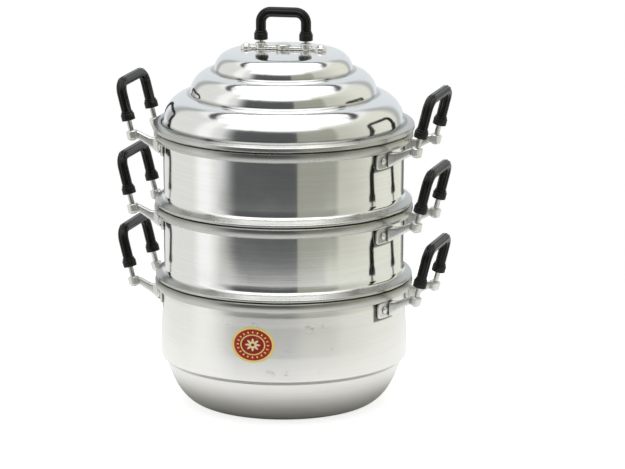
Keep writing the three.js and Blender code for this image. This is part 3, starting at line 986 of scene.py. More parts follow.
@dataclass(frozen=True)
class Grip:
    """A fluted grip with a stepped collar on each leg, hollow at its feet where the rod goes in."""

    radius: float = 6.0
    flute: float = 0.55
    flutes: int = 10
    around: int = 120
    collar_step: float = 1.0
    collar_height: float = 8.0
    collar_step_height: float = 2.5
    bore: float = 3.3
    bore_depth: float = 3.0
    bore_floor: float = 0.98
    rounding: float = 0.7
    rounding_rings: int = 4
    inset: float = 0.01
    plain: float = 0.6

    def shape(self, bail: Bail) -> Shape:
        """The grip on a bail whose foot is at the collar's lower face."""
        step = self.radius + self.collar_step
        full = step + self.collar_step
        top = self.collar_height + self.collar_step_height
        soft = self.rounding
        quarter = np.radians(np.linspace(0, 90, self.rounding_rings))
        rise, fall = soft * np.sin(quarter), soft * np.cos(quarter)
        ends = np.vstack([
            [[self.bore_depth, self.bore * self.bore_floor], [self.bore_depth, self.bore],
             [0, self.bore]],
            np.stack([soft - fall, full - soft + rise], 1),
            np.stack([self.collar_height - soft + rise, full - soft + fall], 1),
            [[self.collar_height, step - self.inset]],
            np.stack([top - soft + rise, step - soft + fall], 1),
            [[top, self.radius], [top + self.plain, self.radius]],
        ])
        return bail.sweep(ends, self.radius, self.plain, self.around, self.flutes, self.flute)


@dataclass(frozen=True)
class Rod:
    """A bent rod whose feet may end in peened heads."""

    radius: float = 3.0
    head_radius: float = 4.4
    head_height: float = 1.6
    head_turn: float = 80.0
    head_rings: int = 5
    chamfer: float = 0.4
    clear: float = 0.5
    around: int = 32

    def shape(self, bail: Bail, peened: bool) -> Shape:
        """The rod on a bail whose foot is the rod's end."""
        if peened:
            turn = np.radians(np.linspace(0, self.head_turn, self.head_rings))[1:, None]
            head = np.array([[self.head_height, self.head_radius]])
            dome = head * np.hstack([1 - np.cos(turn), np.sin(turn)])
            ends = np.vstack([dome, head, [[self.head_height, self.radius]]])
        else:
            ends = np.array([[0, self.radius - self.chamfer], [self.chamfer, self.radius]])
        return bail.sweep(ends, self.radius, self.clear, self.around)


@dataclass(frozen=True)
class Rivet:
    """A domed rivet along Z: head, shank and flat tail."""

    head: float = 4.5
    head_height: float = 2.2
    dome_power: float = 2.4
    dome_rings: int = 9
    around: int = 32
    shank: float = 1.5
    tail: float = 3.4
    tail_height: float = 1.2
    tail_fillet: float = 0.5

    def shape(self, head_seat: float, tail_seat: float) -> Shape:
        """The rivet turned from its section.

        The dome falls with its share of the head's radius to a power.

        Args:
            head_seat: Where the head's flat side lies.
            tail_seat: Where the tail's flat side lies, below it.

        Returns:
            The closed rivet.
        """
        share = np.linspace(1, 0, self.dome_rings)
        rise = head_seat + self.head_height * (1 - share ** self.dome_power)
        low = tail_seat - self.tail_height
        body = filleted([(0, low, 0), (self.tail, low, self.tail_fillet), (self.tail, tail_seat, 0),
                         (self.shank, tail_seat, 0), (self.shank, head_seat, 0)])
        line = np.vstack([body, np.stack([self.head * share, rise], 1)])
        return turned(cleaned(line), self.around)


@dataclass(frozen=True)
class SideFittings:
    """Lugs, rivets, rods and grips at the sides of a vessel, placed from its rim."""

    wall: float
    leg_spacing: float = 82.0
    bar_rise: float = 62.0
    corner: float = 13.0
    knuckle: float = 172.0
    knuckle_drop: float = 11.0
    lean: float = 14.0
    collar_rise: float = 17.5
    rod_foot: float = -5.3
    foot_drop: float = 13.0
    foot_bottom: float = 32.0
    foot_inner: float = 31.0
    foot_outer: float = 58.0
    foot_thickness: float = 3.2
    foot_squareness: float = 0.34
    foot_points: int = 72
    foot_steps: tuple[Pair, ...] = ((0.0, 1.0), (0.6, 1.0), (0.9, 0.97), (1.0, 0.90))
    rivet_offset: float = 47.0
    arm_offset: float = 39.0
    arm_half_width: float = 3.25
    arm_squareness: float = 0.5
    arm_points: int = 40
    arm_sections: int = 22
    arm_root: float = 1.5
    arm_root_lift: float = 1.0
    arm_flare: float = 1.5
    arm_flare_length: float = 6.0
    arm_above_tip: float = 4.6
    arm_below_tip: float = 4.4
    arm_elbow: float = 14.0
    arm_elbow_drop: float = 0.5
    boss_radius: float = 6.5
    boss_height: float = 10.0
    boss_lift: float = 5.0
    boss_fillet: float = 1.2
    boss_points: int = 40
    voxel: float = 0.65
    tumbling: int = 3

    @property
    def rivet_drop(self) -> float:
        """How far below the rim a rivet sits."""
        return (self.foot_drop + self.foot_bottom) / 2

    def side_place(self, height: float, left: bool) -> Matrix:
        """The place of one side's fittings: up to the rim, and half round for the left side."""
        turn = Matrix.Rotation(math.pi if left else 0.0, 4, "Z")
        return Matrix.Translation((0, 0, height)) @ turn

    def handle_place(self) -> Matrix:
        """The place of the flat handle drawing: at the knuckle, leaned outwards."""
        at = Matrix.Translation((self.knuckle, 0, -self.knuckle_drop))
        return at @ Matrix.Rotation(math.radians(self.lean), 4, "Y")

    def rivet_place(self, side: int) -> Matrix:
        """The place of a rivet drawn along Z, pointing out through the middle of a lug's foot."""
        angle = side * math.asin(self.rivet_offset / self.wall)
        turn = Matrix.Rotation(angle, 4, "Z") @ Matrix.Rotation(math.pi / 2, 4, "Y")
        return Matrix.Translation((0, 0, -self.rivet_drop)) @ turn

    def foot(self) -> Shape:
        """A lug's foot: a rounded rectangle wrapped on the wall, its rings stepping outwards.

        A point of the outline at distance y and height z goes to radius r and angle asin(y / r0).
        """
        half_y = (self.foot_outer - self.foot_inner) / 2
        half_z = (self.foot_bottom - self.foot_drop) / 2
        across, up = squared_circle(self.foot_points, self.foot_squareness)
        steps = np.array(self.foot_steps)
        reach = self.wall + GAP + steps[:, :1] * self.foot_thickness
        y = half_y * across * steps[:, 1:] - (self.foot_outer + self.foot_inner) / 2
        turn = np.arcsin(y / self.wall)
        z = half_z * up * steps[:, 1:] - self.rivet_drop
        return loft(np.stack([reach * np.cos(turn), reach * np.sin(turn), z], -1))

    def arm(self) -> Shape:
        """A lug's arm: rounded sections along X between an upper and a lower edge line."""
        tip = self.knuckle - self.boss_radius
        x = np.linspace(self.wall - self.arm_root, self.knuckle, self.arm_sections)
        tip_top = self.knuckle_drop - self.arm_above_tip
        tip_bottom = self.knuckle_drop + self.arm_below_tip
        root = self.foot_bottom - self.arm_root_lift
        elbow = (root + tip_bottom) / 2 + self.arm_elbow_drop
        top = -np.interp(x, [RIM_RADIUS, tip], [self.foot_drop, tip_top])
        low = -np.interp(x, [self.wall, tip - self.arm_elbow, tip], [root, elbow, tip_bottom])
        flare = np.interp(x, [self.wall, self.wall + self.arm_flare_length], [self.arm_flare, 1.0])
        across, up = squared_circle(self.arm_points, self.arm_squareness)
        rings = np.stack([
            np.repeat(x[:, None], len(up), 1),
            -self.arm_offset - self.arm_half_width * across[None, :] * flare[:, None],
            (top + low)[:, None] / 2 + (top - low)[:, None] / 2 * up[None, :],
        ], -1)
        return loft(rings[::-1])

    def boss(self) -> Shape:
        """A lug's boss: an upright with rounded edges, on the handle's leg."""
        low, high = self.boss_lift - self.boss_height, self.boss_lift
        line = filleted([(0, low, 0), (self.boss_radius, low, self.boss_fillet),
                         (self.boss_radius, high, self.boss_fillet), (0, high, 0)])
        place = self.handle_place() @ Matrix.Translation((0, -self.leg_spacing / 2, 0))
        return turned(cleaned(line), self.boss_points).moved(place)

    def lug(self) -> Shape:
        """The lug of the right side's front, melted together from foot, arm and boss."""
        return cast_skin([self.foot(), self.arm(), self.boss()], self.voxel, self.tumbling)

    def bail(self, foot: float) -> Bail:
        """The handle's centre line from a foot height."""
        return Bail(self.leg_spacing, foot, self.bar_rise, self.corner)

    def dress(self, shop: Workshop, vessel: str, rim_height: float) -> None:
        """Makes both sides' fittings of a vessel."""
        lug = self.lug()
        flip = Matrix.Scale(-1, 4, (0, 1, 0))
        head_seat = self.wall + 2 * GAP + self.foot_thickness
        rivet = Rivet().shape(head_seat, self.wall - SHEET - GAP)
        grip = Grip().shape(self.bail(self.collar_rise))
        rod_tool = Rod()
        rod = rod_tool.shape(self.bail(self.rod_foot - rod_tool.head_height), True)
        for side_name, left in (("right", False), ("left", True)):
            place = self.side_place(rim_height, left)
            name = f"{vessel}_{side_name}"
            for end, side in (("front", 1 if left else -1), ("rear", -1 if left else 1)):
                turn = place if side == -1 else place @ flip
                shop.piece(f"{name}_{end}_lug_casting", lug.moved(turn), Finish.CAST, vessel,
                           [f"{name}_{end}_lug"])
                shop.piece(f"{name}_{end}_rivet_dome", rivet.moved(place @ self.rivet_place(side)),
                           Finish.RIVET, vessel, [f"{name}_{end}_rivet"])
            handle = place @ self.handle_place()
            shop.piece(f"{name}_bent_rod", rod.moved(handle), Finish.ROD, vessel, [f"{name}_rod"])
            shop.piece(f"{name}_fluted_grip", grip.moved(handle), Finish.GRIP, vessel,
                       [f"{name}_grip"])


@dataclass(frozen=True)
class RolledRim:
    """A vessel's rolled rim: a flat land, then a curl whose face bulges between tight corners."""

    radius: float = RIM_RADIUS
    drop: float = 14.0
    inner_fillet: float = 1.0
    corner: float = 1.9
    face: float = 11.0
    face_from: float = 16.0
    face_to: float = -18.0
    curl_end: float = -95.0

    def line(self, wall: float, height: float) -> np.ndarray:
        """The outer line from the wall to the curl's end.

        The curl's three arcs touch, because each next centre lies on the line through the last
        centre and the joint.

        Args:
            wall: The wall's radius.
            height: The rim's height.

        Returns:
            The line.
        """
        land = height - SHEET
        upper = np.array([self.radius - SHEET - self.corner, land - self.corner])
        begin, end = math.radians(self.face_from), math.radians(self.face_to)
        inwards = self.corner - self.face
        middle = upper + inwards * np.array([math.cos(begin), math.sin(begin)])
        lower = middle - inwards * np.array([math.cos(end), math.sin(end)])
        return np.vstack([
            filleted([(wall, height - self.drop, 0), (wall, land, self.inner_fillet),
                      (upper[0], land, 0)]),
            arc(upper, self.corner, 90, self.face_from),
            arc(middle, self.face, self.face_from, self.face_to, 4),
            arc(lower, self.corner, self.face_to, self.curl_end),
        ])


@dataclass(frozen=True)
class Pot:
    """The cooking pot: a spun shell, its side fittings and its sticker."""

    height: float = 150.0
    base_radius: float = 96.0
    body_turn: float = 60.0
    body_points: int = 26
    crease_radius: float = 138.0
    crease_height: float = 51.5
    crease_fillet: float = 2.5
    shoulder_height: float = 56.5
    shoulder_fillet: float = 3.5
    belly_radius: float = 144.0
    belly_height: float = 84.0
    belly_fillet: float = 60.0
    neck_radius: float = 142.0
    neck_height: float = 119.0
    groove: float = 0.7
    groove_from: float = 19.0
    groove_to: float = 13.9
    groove_fillet: float = 12.0
    label_turn: float = -87.0
    label_centre: float = 99.6
    label_half_width: float = 26.0
    label_half_height: float = 21.0
    label_thickness: float = 0.5
    label_lift: float = 0.05
    label_points: int = 96
    label_rings: tuple[Pair, ...] = ((1.0, 0.0), (1.0, 0.35), (0.985, 0.8), (0.93, 1.0), (0.8, 1.0),
                                     (0.6, 1.0), (0.4, 1.0), (0.2, 1.0))

    def wall(self) -> np.ndarray:
        """The outer line: a flat base, part of an ellipse, a crease, a full belly, a slight neck.

        Up the ellipse the radius grows with the sine of the angle, and the height with one minus
        its cosine.
        """
        end = math.radians(self.body_turn)
        turn = np.linspace(0, end, self.body_points)[:-1]
        reach = (self.crease_radius - self.base_radius) / math.sin(end)
        rise = self.crease_height / (1 - math.cos(end))
        body = np.stack([self.base_radius + reach * np.sin(turn), rise * (1 - np.cos(turn))], 1)
        upper = filleted([
            (body[-1, 0], body[-1, 1], 0),
            (self.crease_radius, self.crease_height, self.crease_fillet),
            (self.belly_radius, self.shoulder_height, self.shoulder_fillet),
            (self.belly_radius, self.belly_height, self.belly_fillet),
            (self.neck_radius, self.neck_height, self.belly_fillet),
            (self.neck_radius, self.height - self.groove_from, self.groove_fillet),
            (self.neck_radius - self.groove, self.height - self.groove_to, 0),
        ])
        return np.vstack([[[0, 0]], body, upper[1:-1]])

    def shell(self) -> Shape:
        """The shell turned from its sheet section."""
        rim = RolledRim().line(self.neck_radius - self.groove, self.height)
        return turned(sheet_loop(np.vstack([self.wall(), rim])))

    def label(self) -> Shape:
        """The oval sticker: a polar grid whose points sit on the wall and rise to its thickness.

        Each ring has a share of the oval's size and a share of the thickness. Distance along the
        wall over the belly's radius gives the turn.
        """
        wall = self.wall()
        wall = wall[wall[:, 1] > self.shoulder_height]
        share, rise = (column[:, None] for column in np.array(self.label_rings).T)
        angle = np.arange(self.label_points) * TURN / self.label_points
        across, up = share * np.cos(angle), share * np.sin(angle)
        middle = math.radians(self.label_turn)
        height = self.label_centre + self.label_half_height * up
        radius = np.interp(height, wall[:, 1], wall[:, 0]) + self.label_lift
        radius = radius + rise * self.label_thickness
        turn = middle + self.label_half_width * across / self.belly_radius
        rings = np.stack([radius * np.cos(turn), radius * np.sin(turn), height], -1)
        lay = np.stack([across, up, 0 * across], -1) / MM
        back = float(np.interp(self.label_centre, wall[:, 1], wall[:, 0])) + self.label_lift
        poles = [np.array([r * math.cos(middle), r * math.sin(middle), self.label_centre])
                 for r in (back, back + self.label_thickness)]
        return ringed(rings, poles, lay)

    def dress(self, shop: Workshop) -> None:
        """Makes the pot's pieces."""
        shop.piece("pot_spun_shell", self.shell(), Finish.SATIN, "pot", ["pot_shell"])
        sticker = shop.piece("pot_oval_sticker", self.label(), Finish.STICKER, "pot", ["pot_label"])
        mesh = sticker.data
        lay = np.empty(len(mesh.vertices) * 3, np.float32)
        mesh.attributes["lay"].data.foreach_get("vector", lay)
        corner = np.empty(len(mesh.loops), int)
        mesh.loops.foreach_get("vertex_index", corner)
        uv = mesh.uv_layers.new(name="oval")
        uv.data.foreach_set("uv", lay.reshape(-1, 3)[corner, :2].ravel())
        SideFittings(self.neck_radius).dress(shop, "pot", self.height)


@dataclass(frozen=True)
class Tray:
    """A steaming tray: a shell whose floor is perforated, and its side fittings."""

    vessel: str
    seat: float
    pitch: float = 87.5
    radius: float = 140.0
    foot_radius: float = 150.0
    spigot: float = 137.3
    spigot_depth: float = 9.0
    spigot_fillet: float = 3.0
    seat_fillet: float = 0.8
    lip: float = 2.3
    lip_end: float = 60.0
    cove_out: Pair = (4.8, 2.8)
    cove_in: Pair = (0.11, 8.5)
    wall_margin: float = 14.0
    wall_rings: int = 14
    barrel: float = 0.00028
    fullest: float = 50.0
    hole_radius: float = 4.5
    hole_pitch: float = 26.087
    arcs: tuple[int, ...] = (24, 48, 72, 144, SEGMENTS)
    spokes: int = 4

    @property
    def floor_edge(self) -> float:
        """The radius at which the perforated plate meets the turned part."""
        return self.hole_pitch * (len(self.arcs) - 0.5)

    def outer(self) -> np.ndarray:
        """The turned part's outer line: floor, spigot, seat, lip, hollow curve, wall, rolled rim.

        The wall is a very slight barrel: its radius falls with the square of the height from its
        fullest.
        """
        floor = self.seat - self.spigot_depth
        lip_centre = (self.foot_radius - self.lip, self.seat + self.lip)
        lip = arc(lip_centre, self.lip, -90, self.lip_end)
        fold = filleted([
            (self.floor_edge, floor, 0),
            (self.spigot, floor, self.spigot_fillet),
            (self.spigot, self.seat, self.seat_fillet),
            (lip_centre[0], self.seat, 0),
        ])
        height = np.linspace(self.wall_margin, self.pitch - self.wall_margin, self.wall_rings)
        radius = self.radius - self.barrel * (height - self.fullest) ** 2
        wall = np.stack([radius, self.seat + height], 1)
        (end_x, end_z), (out_x, out_z), (in_x, in_z) = lip[-1], self.cove_out, self.cove_in
        cove = bezier([(end_x, end_z), (end_x - out_x, end_z + out_z),
                       (wall[0, 0] - in_x, self.seat + in_z), tuple(wall[0])])
        rim = RolledRim().line(wall[-1, 0], self.seat + self.pitch)
        return np.vstack([fold, lip, cove, wall[1:-1], rim])

    def cell(self, ring: int) -> tuple[np.ndarray, np.ndarray]:
        """A hole's edge and the outline of the plate that belongs to it, for every hole of a ring.

        The outline runs round a sector between two circles. The hole's edge lies where the lines
        from the hole's middle to the outline's points cross its circle.

        Args:
            ring: The ring's number, 0 for the middle hole.

        Returns:
            Edge and outline points, as arrays of holes, points and coordinates in the plane.
        """
        if ring == 0:
            angle = np.arange(self.arcs[0]) * TURN / self.arcs[0]
            unit = np.stack([np.cos(angle), np.sin(angle)], -1)[None]
            return unit * self.hole_radius, unit * self.hole_pitch / 2
        count = 6 * ring
        half = math.pi / count
        inner, outer = self.hole_pitch * (ring - 0.5), self.hole_pitch * (ring + 0.5)
        outward = np.linspace(-half, half, self.arcs[ring] // count, endpoint=False)
        backward = np.linspace(half, -half, self.arcs[ring - 1] // count, endpoint=False)
        spoke = np.linspace(0, 1, self.spokes, endpoint=False)
        turn = np.concatenate([outward, np.full(self.spokes, half),
                               backward, np.full(self.spokes, -half)])
        reach = np.concatenate([np.full(len(outward), outer), outer + (inner - outer) * spoke,
                                np.full(len(backward), inner), inner + (outer - inner) * spoke])
        flat = np.stack([reach * np.cos(turn), reach * np.sin(turn)], -1)
        middle = np.array([self.hole_pitch * ring, 0])
        away = flat - middle
        edge = middle + self.hole_radius * away / np.linalg.norm(away, axis=1)[:, None]
        spin = np.arange(count) * TURN / count
        cosine, sine = np.cos(spin), np.sin(spin)
        matrix = np.stack([np.stack([cosine, -sine], -1), np.stack([sine, cosine], -1)], 1)
        return np.einsum("kab,nb->kna", matrix, edge), np.einsum("kab,nb->kna", matrix, flat)

    def plate(self) -> Shape:
        """The perforated floor: a top, an underside and a wall in every hole."""
        under = self.seat - self.spigot_depth
        top = under + SHEET
        shapes = []
        for ring in range(len(self.arcs)):
            edge, flat = self.cell(ring)
            holes, around = edge.shape[:2]
            levels = [(flat, under), (edge, under), (edge, top), (flat, top)]
            rings = np.stack([np.concatenate([p, np.full((holes, around, 1), z)], -1)
                              for p, z in levels], 1)
            base = np.arange(holes)[:, None, None] * 4 * around
            step = np.arange(3)[None, :, None] * around
            j = np.arange(around)[None, None, :]
            k = (j + 1) % around
            quads = np.stack([base + step + k, base + step + j, base + step + around + j,
                              base + step + around + k], -1).reshape(-1, 4)
            shapes.append(Shape(rings.reshape(-1, 3), quads, NO_TRIANGLES))
        return joined(shapes)

    def dress(self, shop: Workshop) -> None:
        """Makes the tray's pieces."""
        shell = joined([turned(sheet_loop(self.outer())), self.plate()])
        shop.piece(f"{self.vessel}_spun_shell", shell, Finish.POLISHED, self.vessel,
                   [f"{self.vessel}_shell"], weld=True)
        SideFittings(self.radius).dress(shop, self.vessel, self.seat + self.pitch)


@dataclass(frozen=True)
class Step:
    """A rounded step of the lid: outer radius, height of its foot above the seat, and curve."""

    radius: float
    foot: float
    curve: float

    @property
    def centre(self) -> np.ndarray:
        """The centre of the step's curve."""
        return np.array([self.radius - self.curve, self.foot])


@dataclass(frozen=True)
class Lid:
    """The lid: a spun shell of three rounded steps, a cast bridge, two rivets, a rod and a grip."""

    seat: float = 325.0
    spigot: float = 137.3
    spigot_fillet: float = 0.8
    skirt: float = 7.0
    flange_radius: float = 152.6
    flange_fillet: float = 1.9
    flange_edge: float = 1.2
    flange_lean: float = 0.3
    flange_edge_fillet: float = 1.6
    flange_top: float = 7.2
    flange_width: float = 6.0
    dip_out: Pair = (3.5, 0.7)
    dip_in: Pair = (0.6, -0.4)
    dip_rise: float = 2.4
    steps: tuple[Step, ...] = (
        Step(139.5, 9.5, 31.5), Step(108.5, 40.5, 28.0), Step(80.5, 68.0, 22.0))
    first_turn: float = 5.0
    last_turn: float = 82.0
    valley_radius: float = 3.0
    height: float = 92.0
    crown_radius: float = 29.8
    crown_out: Pair = (6.0, 1.3)
    crown_in: float = 12.0
    crown_from: float = 10.0
    turn: float = 7.0
    leg_spacing: float = 53.0
    bar_rise: float = 39.5
    corner: float = 12.0
    collar_rise: float = 7.0
    rod_rise: float = 1.0
    bridge_thickness: float = 4.0
    bridge_half_width: float = 5.0
    bridge_squareness: float = 0.5
    bridge_points: int = 24
    bridge_sections: int = 40
    rivet_reach: float = 43.5
    tail_radius: float = 3.4
    end_radius: float = 7.0
    boss_radius: float = 6.5
    boss_height: float = 4.0
    pad_radius: float = 8.5
    pad_height: float = 2.5
    upright_fillet: float = 1.0
    upright_points: int = 48
    voxel: float = 0.6
    tumbling: int = 4

    @property
    def bridge_top(self) -> float:
        """The height of the bridge's upper face."""
        return self.seat + self.height + self.bridge_thickness

    def valley(self, lower: Step, upper: Step) -> tuple[np.ndarray, float, float]:
        """The small hollow arc that touches two steps' curves.

        Its centre is as far from each curve's centre as the two radii together, so it lies where
        two circles cross.

        Args:
            lower: The step that the valley lies on.
            upper: The step that rises from it.

        Returns:
            The arc's points, the lower curve's last angle and the upper curve's first.
        """
        a, b = lower.centre, upper.centre
        ra, rb = lower.curve + self.valley_radius, upper.curve + self.valley_radius
        gap = np.linalg.norm(b - a)
        along = (ra ** 2 - rb ** 2 + gap ** 2) / (2 * gap)
        unit = (b - a) / gap
        aside = math.sqrt(ra ** 2 - along ** 2)
        centre = a + unit * along + np.array([unit[1], -unit[0]]) * aside
        ends = math.degrees(math.atan2(*(centre - a)[::-1]))
        starts = math.degrees(math.atan2(*(centre - b)[::-1]))
        return arc(centre, self.valley_radius, ends + 180, starts + 180, 8), ends, starts

    def outer(self) -> np.ndarray:
        """The outer line: skirt, flange, three steps with hollow valleys between, and the crown."""
        rim, first, top = self.flange_radius, self.steps[0], self.steps[-1]
        land = rim - self.flange_width
        (out_x, out_z), (in_x, in_z) = self.dip_out, self.dip_in
        parts = [
            filleted([
                (self.spigot, -self.skirt, 0),
                (self.spigot, 0, self.spigot_fillet),
                (rim, 0, self.flange_fillet),
                (rim - self.flange_lean, self.flange_top - self.flange_edge,
                 self.flange_edge_fillet),
                (land, self.flange_top, 0),
            ]),
            bezier([(land, self.flange_top), (land - out_x, self.flange_top + out_z),
                    (first.radius + in_x, self.flange_top + in_z),
                    (first.radius, first.foot + self.dip_rise)]),
        ]
        begins = self.first_turn
        for lower, upper in zip(self.steps, self.steps[1:]):
            hollow, ends, starts = self.valley(lower, upper)
            parts += [arc(lower.centre, lower.curve, begins, ends, 4), hollow]
            begins = starts
        parts.append(arc(top.centre, top.curve, begins, self.last_turn, 4))
        parts.append(bezier([
            tuple(parts[-1][-1]),
            (top.centre[0] - self.crown_out[0], self.height - self.crown_out[1]),
            (self.crown_radius + self.crown_in, self.height),
            (self.crown_radius, self.height),
        ]))
        parts.append(np.array([[0, self.height]]))
        return np.vstack(parts) + np.array([0, self.seat])

    def shell(self) -> Shape:
        """The shell turned from its sheet section, which starts and ends on the axis."""
        line = sheet_loop(self.outer())
        tops = np.flatnonzero(line[:, 0] < ON_AXIS)
        return turned(np.roll(line, -tops[-1], axis=0))

    def crown_height(self, radius: np.ndarray) -> np.ndarray:
        """The height of the lid's top at a radius within its upper step."""
        line = self.outer()
        line = line[line[:, 1] > self.seat + self.steps[-1].foot + self.crown_from][::-1]
        return np.interp(radius, line[:, 0], line[:, 1])

    def upright(self, reach: float, radius: float, high: float) -> Shape:
        """A round boss with a softened top edge that stands on the crown."""
        base = float(self.crown_height(np.array([abs(reach) + radius]))[0]) + GAP
        line = filleted([(0, base, 0), (radius, base, 0), (radius, high, self.upright_fillet),
                         (0, high, 0)])
        at = Matrix.Translation((reach, 0, 0))
        return turned(cleaned(line), self.upright_points).moved(at)

    def bridge(self) -> Shape:
        """The cast bridge: a strip that follows the crown, round ends, two bosses and a pad."""
        top = self.bridge_top
        x = np.linspace(-self.rivet_reach, self.rivet_reach, self.bridge_sections)
        across, up = squared_circle(self.bridge_points, self.bridge_squareness)
        low = self.crown_height(np.abs(x)) + GAP
        rings = np.stack([
            np.repeat(x[:, None], len(up), 1),
            np.repeat(self.bridge_half_width * across[None, :], len(x), 0),
            (top + low)[:, None] / 2 + (top - low)[:, None] / 2 * up[None, :],
        ], -1)
        parts = [loft(rings)]
        for side in (-1, 1):
            parts += [
                self.upright(side * self.rivet_reach, self.end_radius, top),
                self.upright(side * self.leg_spacing / 2, self.boss_radius, top + self.boss_height),
            ]
        parts.append(self.upright(0.0, self.pad_radius, top + self.pad_height))
        return cast_skin(parts, self.voxel, self.tumbling)

    def bail(self, foot: float) -> Bail:
        """The handle's centre line from a foot height."""
        return Bail(self.leg_spacing, foot, self.bar_rise, self.corner)

    def dress(self, shop: Workshop) -> None:
        """Makes the lid's pieces."""
        place = Matrix.Rotation(math.radians(self.turn), 4, "Z")
        shop.piece("lid_spun_shell", self.shell().moved(place), Finish.POLISHED, "lid",
                   ["lid_shell"])
        shop.piece("lid_bridge_casting", self.bridge().moved(place), Finish.CAST, "lid",
                   ["lid_bridge"])
        at_tail = self.crown_height(np.array([self.rivet_reach + self.tail_radius]))
        rivet = Rivet().shape(self.bridge_top + GAP, float(at_tail[0]) - SHEET - GAP)
        for name, side in (("right", 1), ("left", -1)):
            at = place @ Matrix.Translation((side * self.rivet_reach, 0, 0))
            shop.piece(f"lid_{name}_rivet_dome", rivet.moved(at), Finish.RIVET, "lid",
                       [f"lid_{name}_rivet"])
        lift = Matrix.Translation((0, 0, self.bridge_top))
        handle = place @ lift @ Matrix.Rotation(-math.pi / 2, 4, "Z")
        rod = Rod().shape(self.bail(GAP + self.rod_rise - self.bridge_thickness), False)
        grip = Grip().shape(self.bail(self.collar_rise))
        shop.piece("lid_bent_rod", rod.moved(handle), Finish.ROD, "lid", ["lid_rod"])
        shop.piece("lid_fluted_grip", grip.moved(handle), Finish.GRIP, "lid", ["lid_grip"])


# Studio


@dataclass(frozen=True)
class Card:
    """A curved reflection card round the stack, in degrees from the camera and the horizon.

    Its lower and upper edges run straight from their height at its first turn to that at its last.
    The feather is how much of the card is soft at its first, last, lower and upper edge.
    """

    name: str
    turns: Pair
    low: Pair
    high: Pair
    tone: Colour
    feather: tuple[float, float, float, float]
    distance: float


@dataclass(frozen=True)
class Softbox:
    """A rectangular lamp that faces the stack, placed like a card. Its size is in metres."""

    name: str
    turn: float
    rise: float
    distance: float
    size: Pair
    radiance: float


CARDS = (
    Card("dark_foot", (-52, 13), (-17.4, -17.4), (-12, -12), (0.148, 0.152, 0.155),
         (0.25, 0.008, 0.38, 0.3), 1.8),
    Card("dark_front", (-34, 13), (-17.4, -17.4), (40, 40), (0.098, 0.102, 0.104),
         (0.02, 0.008, 0.036, 0.16), 1.85),
    Card("dark_edge", (-67, -30), (-14.9, -16.9), (37, 39), (0.1, 0.104, 0.106),
         (0.66, 0.02, 0.038, 0.16), 1.9),
    Card("olive_front", (12, 54), (-17.2, -15.2), (40, 42), (0.37, 0.37, 0.315),
         (0.02, 0.14, 0.04, 0.14), 1.88),
    Card("cream_dim", (44, 112), (-17, -17), (44, 44), (0.6, 0.6, 0.52),
         (0.08, 0.85, 0.08, 0.2), 1.92),
    Card("cream_right", (36, 148), (-30, -30), (50, 46), (0.85, 0.85, 0.75),
         (0.05, 0.1, 0.03, 0.08), 1.95),
    Card("cream_left", (-148, -58), (-30, -30), (46, 50), (0.83, 0.835, 0.795),
         (0.08, 0.1, 0.03, 0.08), 1.95),
    Card("white_left", (-95, -63), (-30, -30), (50, 50), (1.07, 1.07, 1.05),
         (0.42, 0.4, 0.03, 0.08), 1.93),
    Card("floor_light", (-100, 100), (-30, -30), (-10, -10), (0.68, 0.68, 0.65),
         (0.05, 0.05, 0.03, 0.1), 2.05),
    Card("low_right", (138, 166), (-30, -30), (-4, -4), (0.85, 0.85, 0.75),
         (0.05, 0.05, 0.03, 0.2), 1.9),
    Card("low_left", (-166, -138), (-30, -30), (-4, -4), (0.83, 0.835, 0.795),
         (0.05, 0.05, 0.03, 0.2), 1.9),
    Card("low_back", (147, 205), (-30, -30), (-4, -4), (0.17, 0.17, 0.155),
         (0.16, 0.16, 0.03, 0.2), 1.86),
    Card("gap_right", (80, 182), (42, 60), (50, 70), (0.06, 0.062, 0.065),
         (0.25, 0.01, 0.3, 0.3), 1.8),
    Card("gap_left", (-182, -80), (60, 42), (70, 50), (0.06, 0.062, 0.065),
         (0.01, 0.25, 0.3, 0.3), 1.8),
    Card("seam_right", (128, 152), (-8, -8), (50, 56), (0.48, 0.49, 0.49),
         (0.5, 0.5, 0.1, 0.2), 1.8),
    Card("seam_left", (-152, -128), (-8, -8), (56, 50), (0.44, 0.45, 0.45),
         (0.5, 0.5, 0.1, 0.2), 1.8),
    Card("backdrop", (140, 220), (-30, -30), (62, 62), (0.80, 0.835, 0.86),
         (0.05, 0.05, 0.03, 0.1), 2.0),
    Card("ceiling_front", (-100, 100), (28, 28), (90, 90), (1.4, 1.4, 1.4),
         (0.05, 0.05, 0.1, 0.01), 2.1),
    Card("ceiling_back", (100, 260), (66, 66), (90, 90), (1.25, 1.26, 1.28),
         (0.05, 0.05, 0.1, 0.01), 2.1),
)


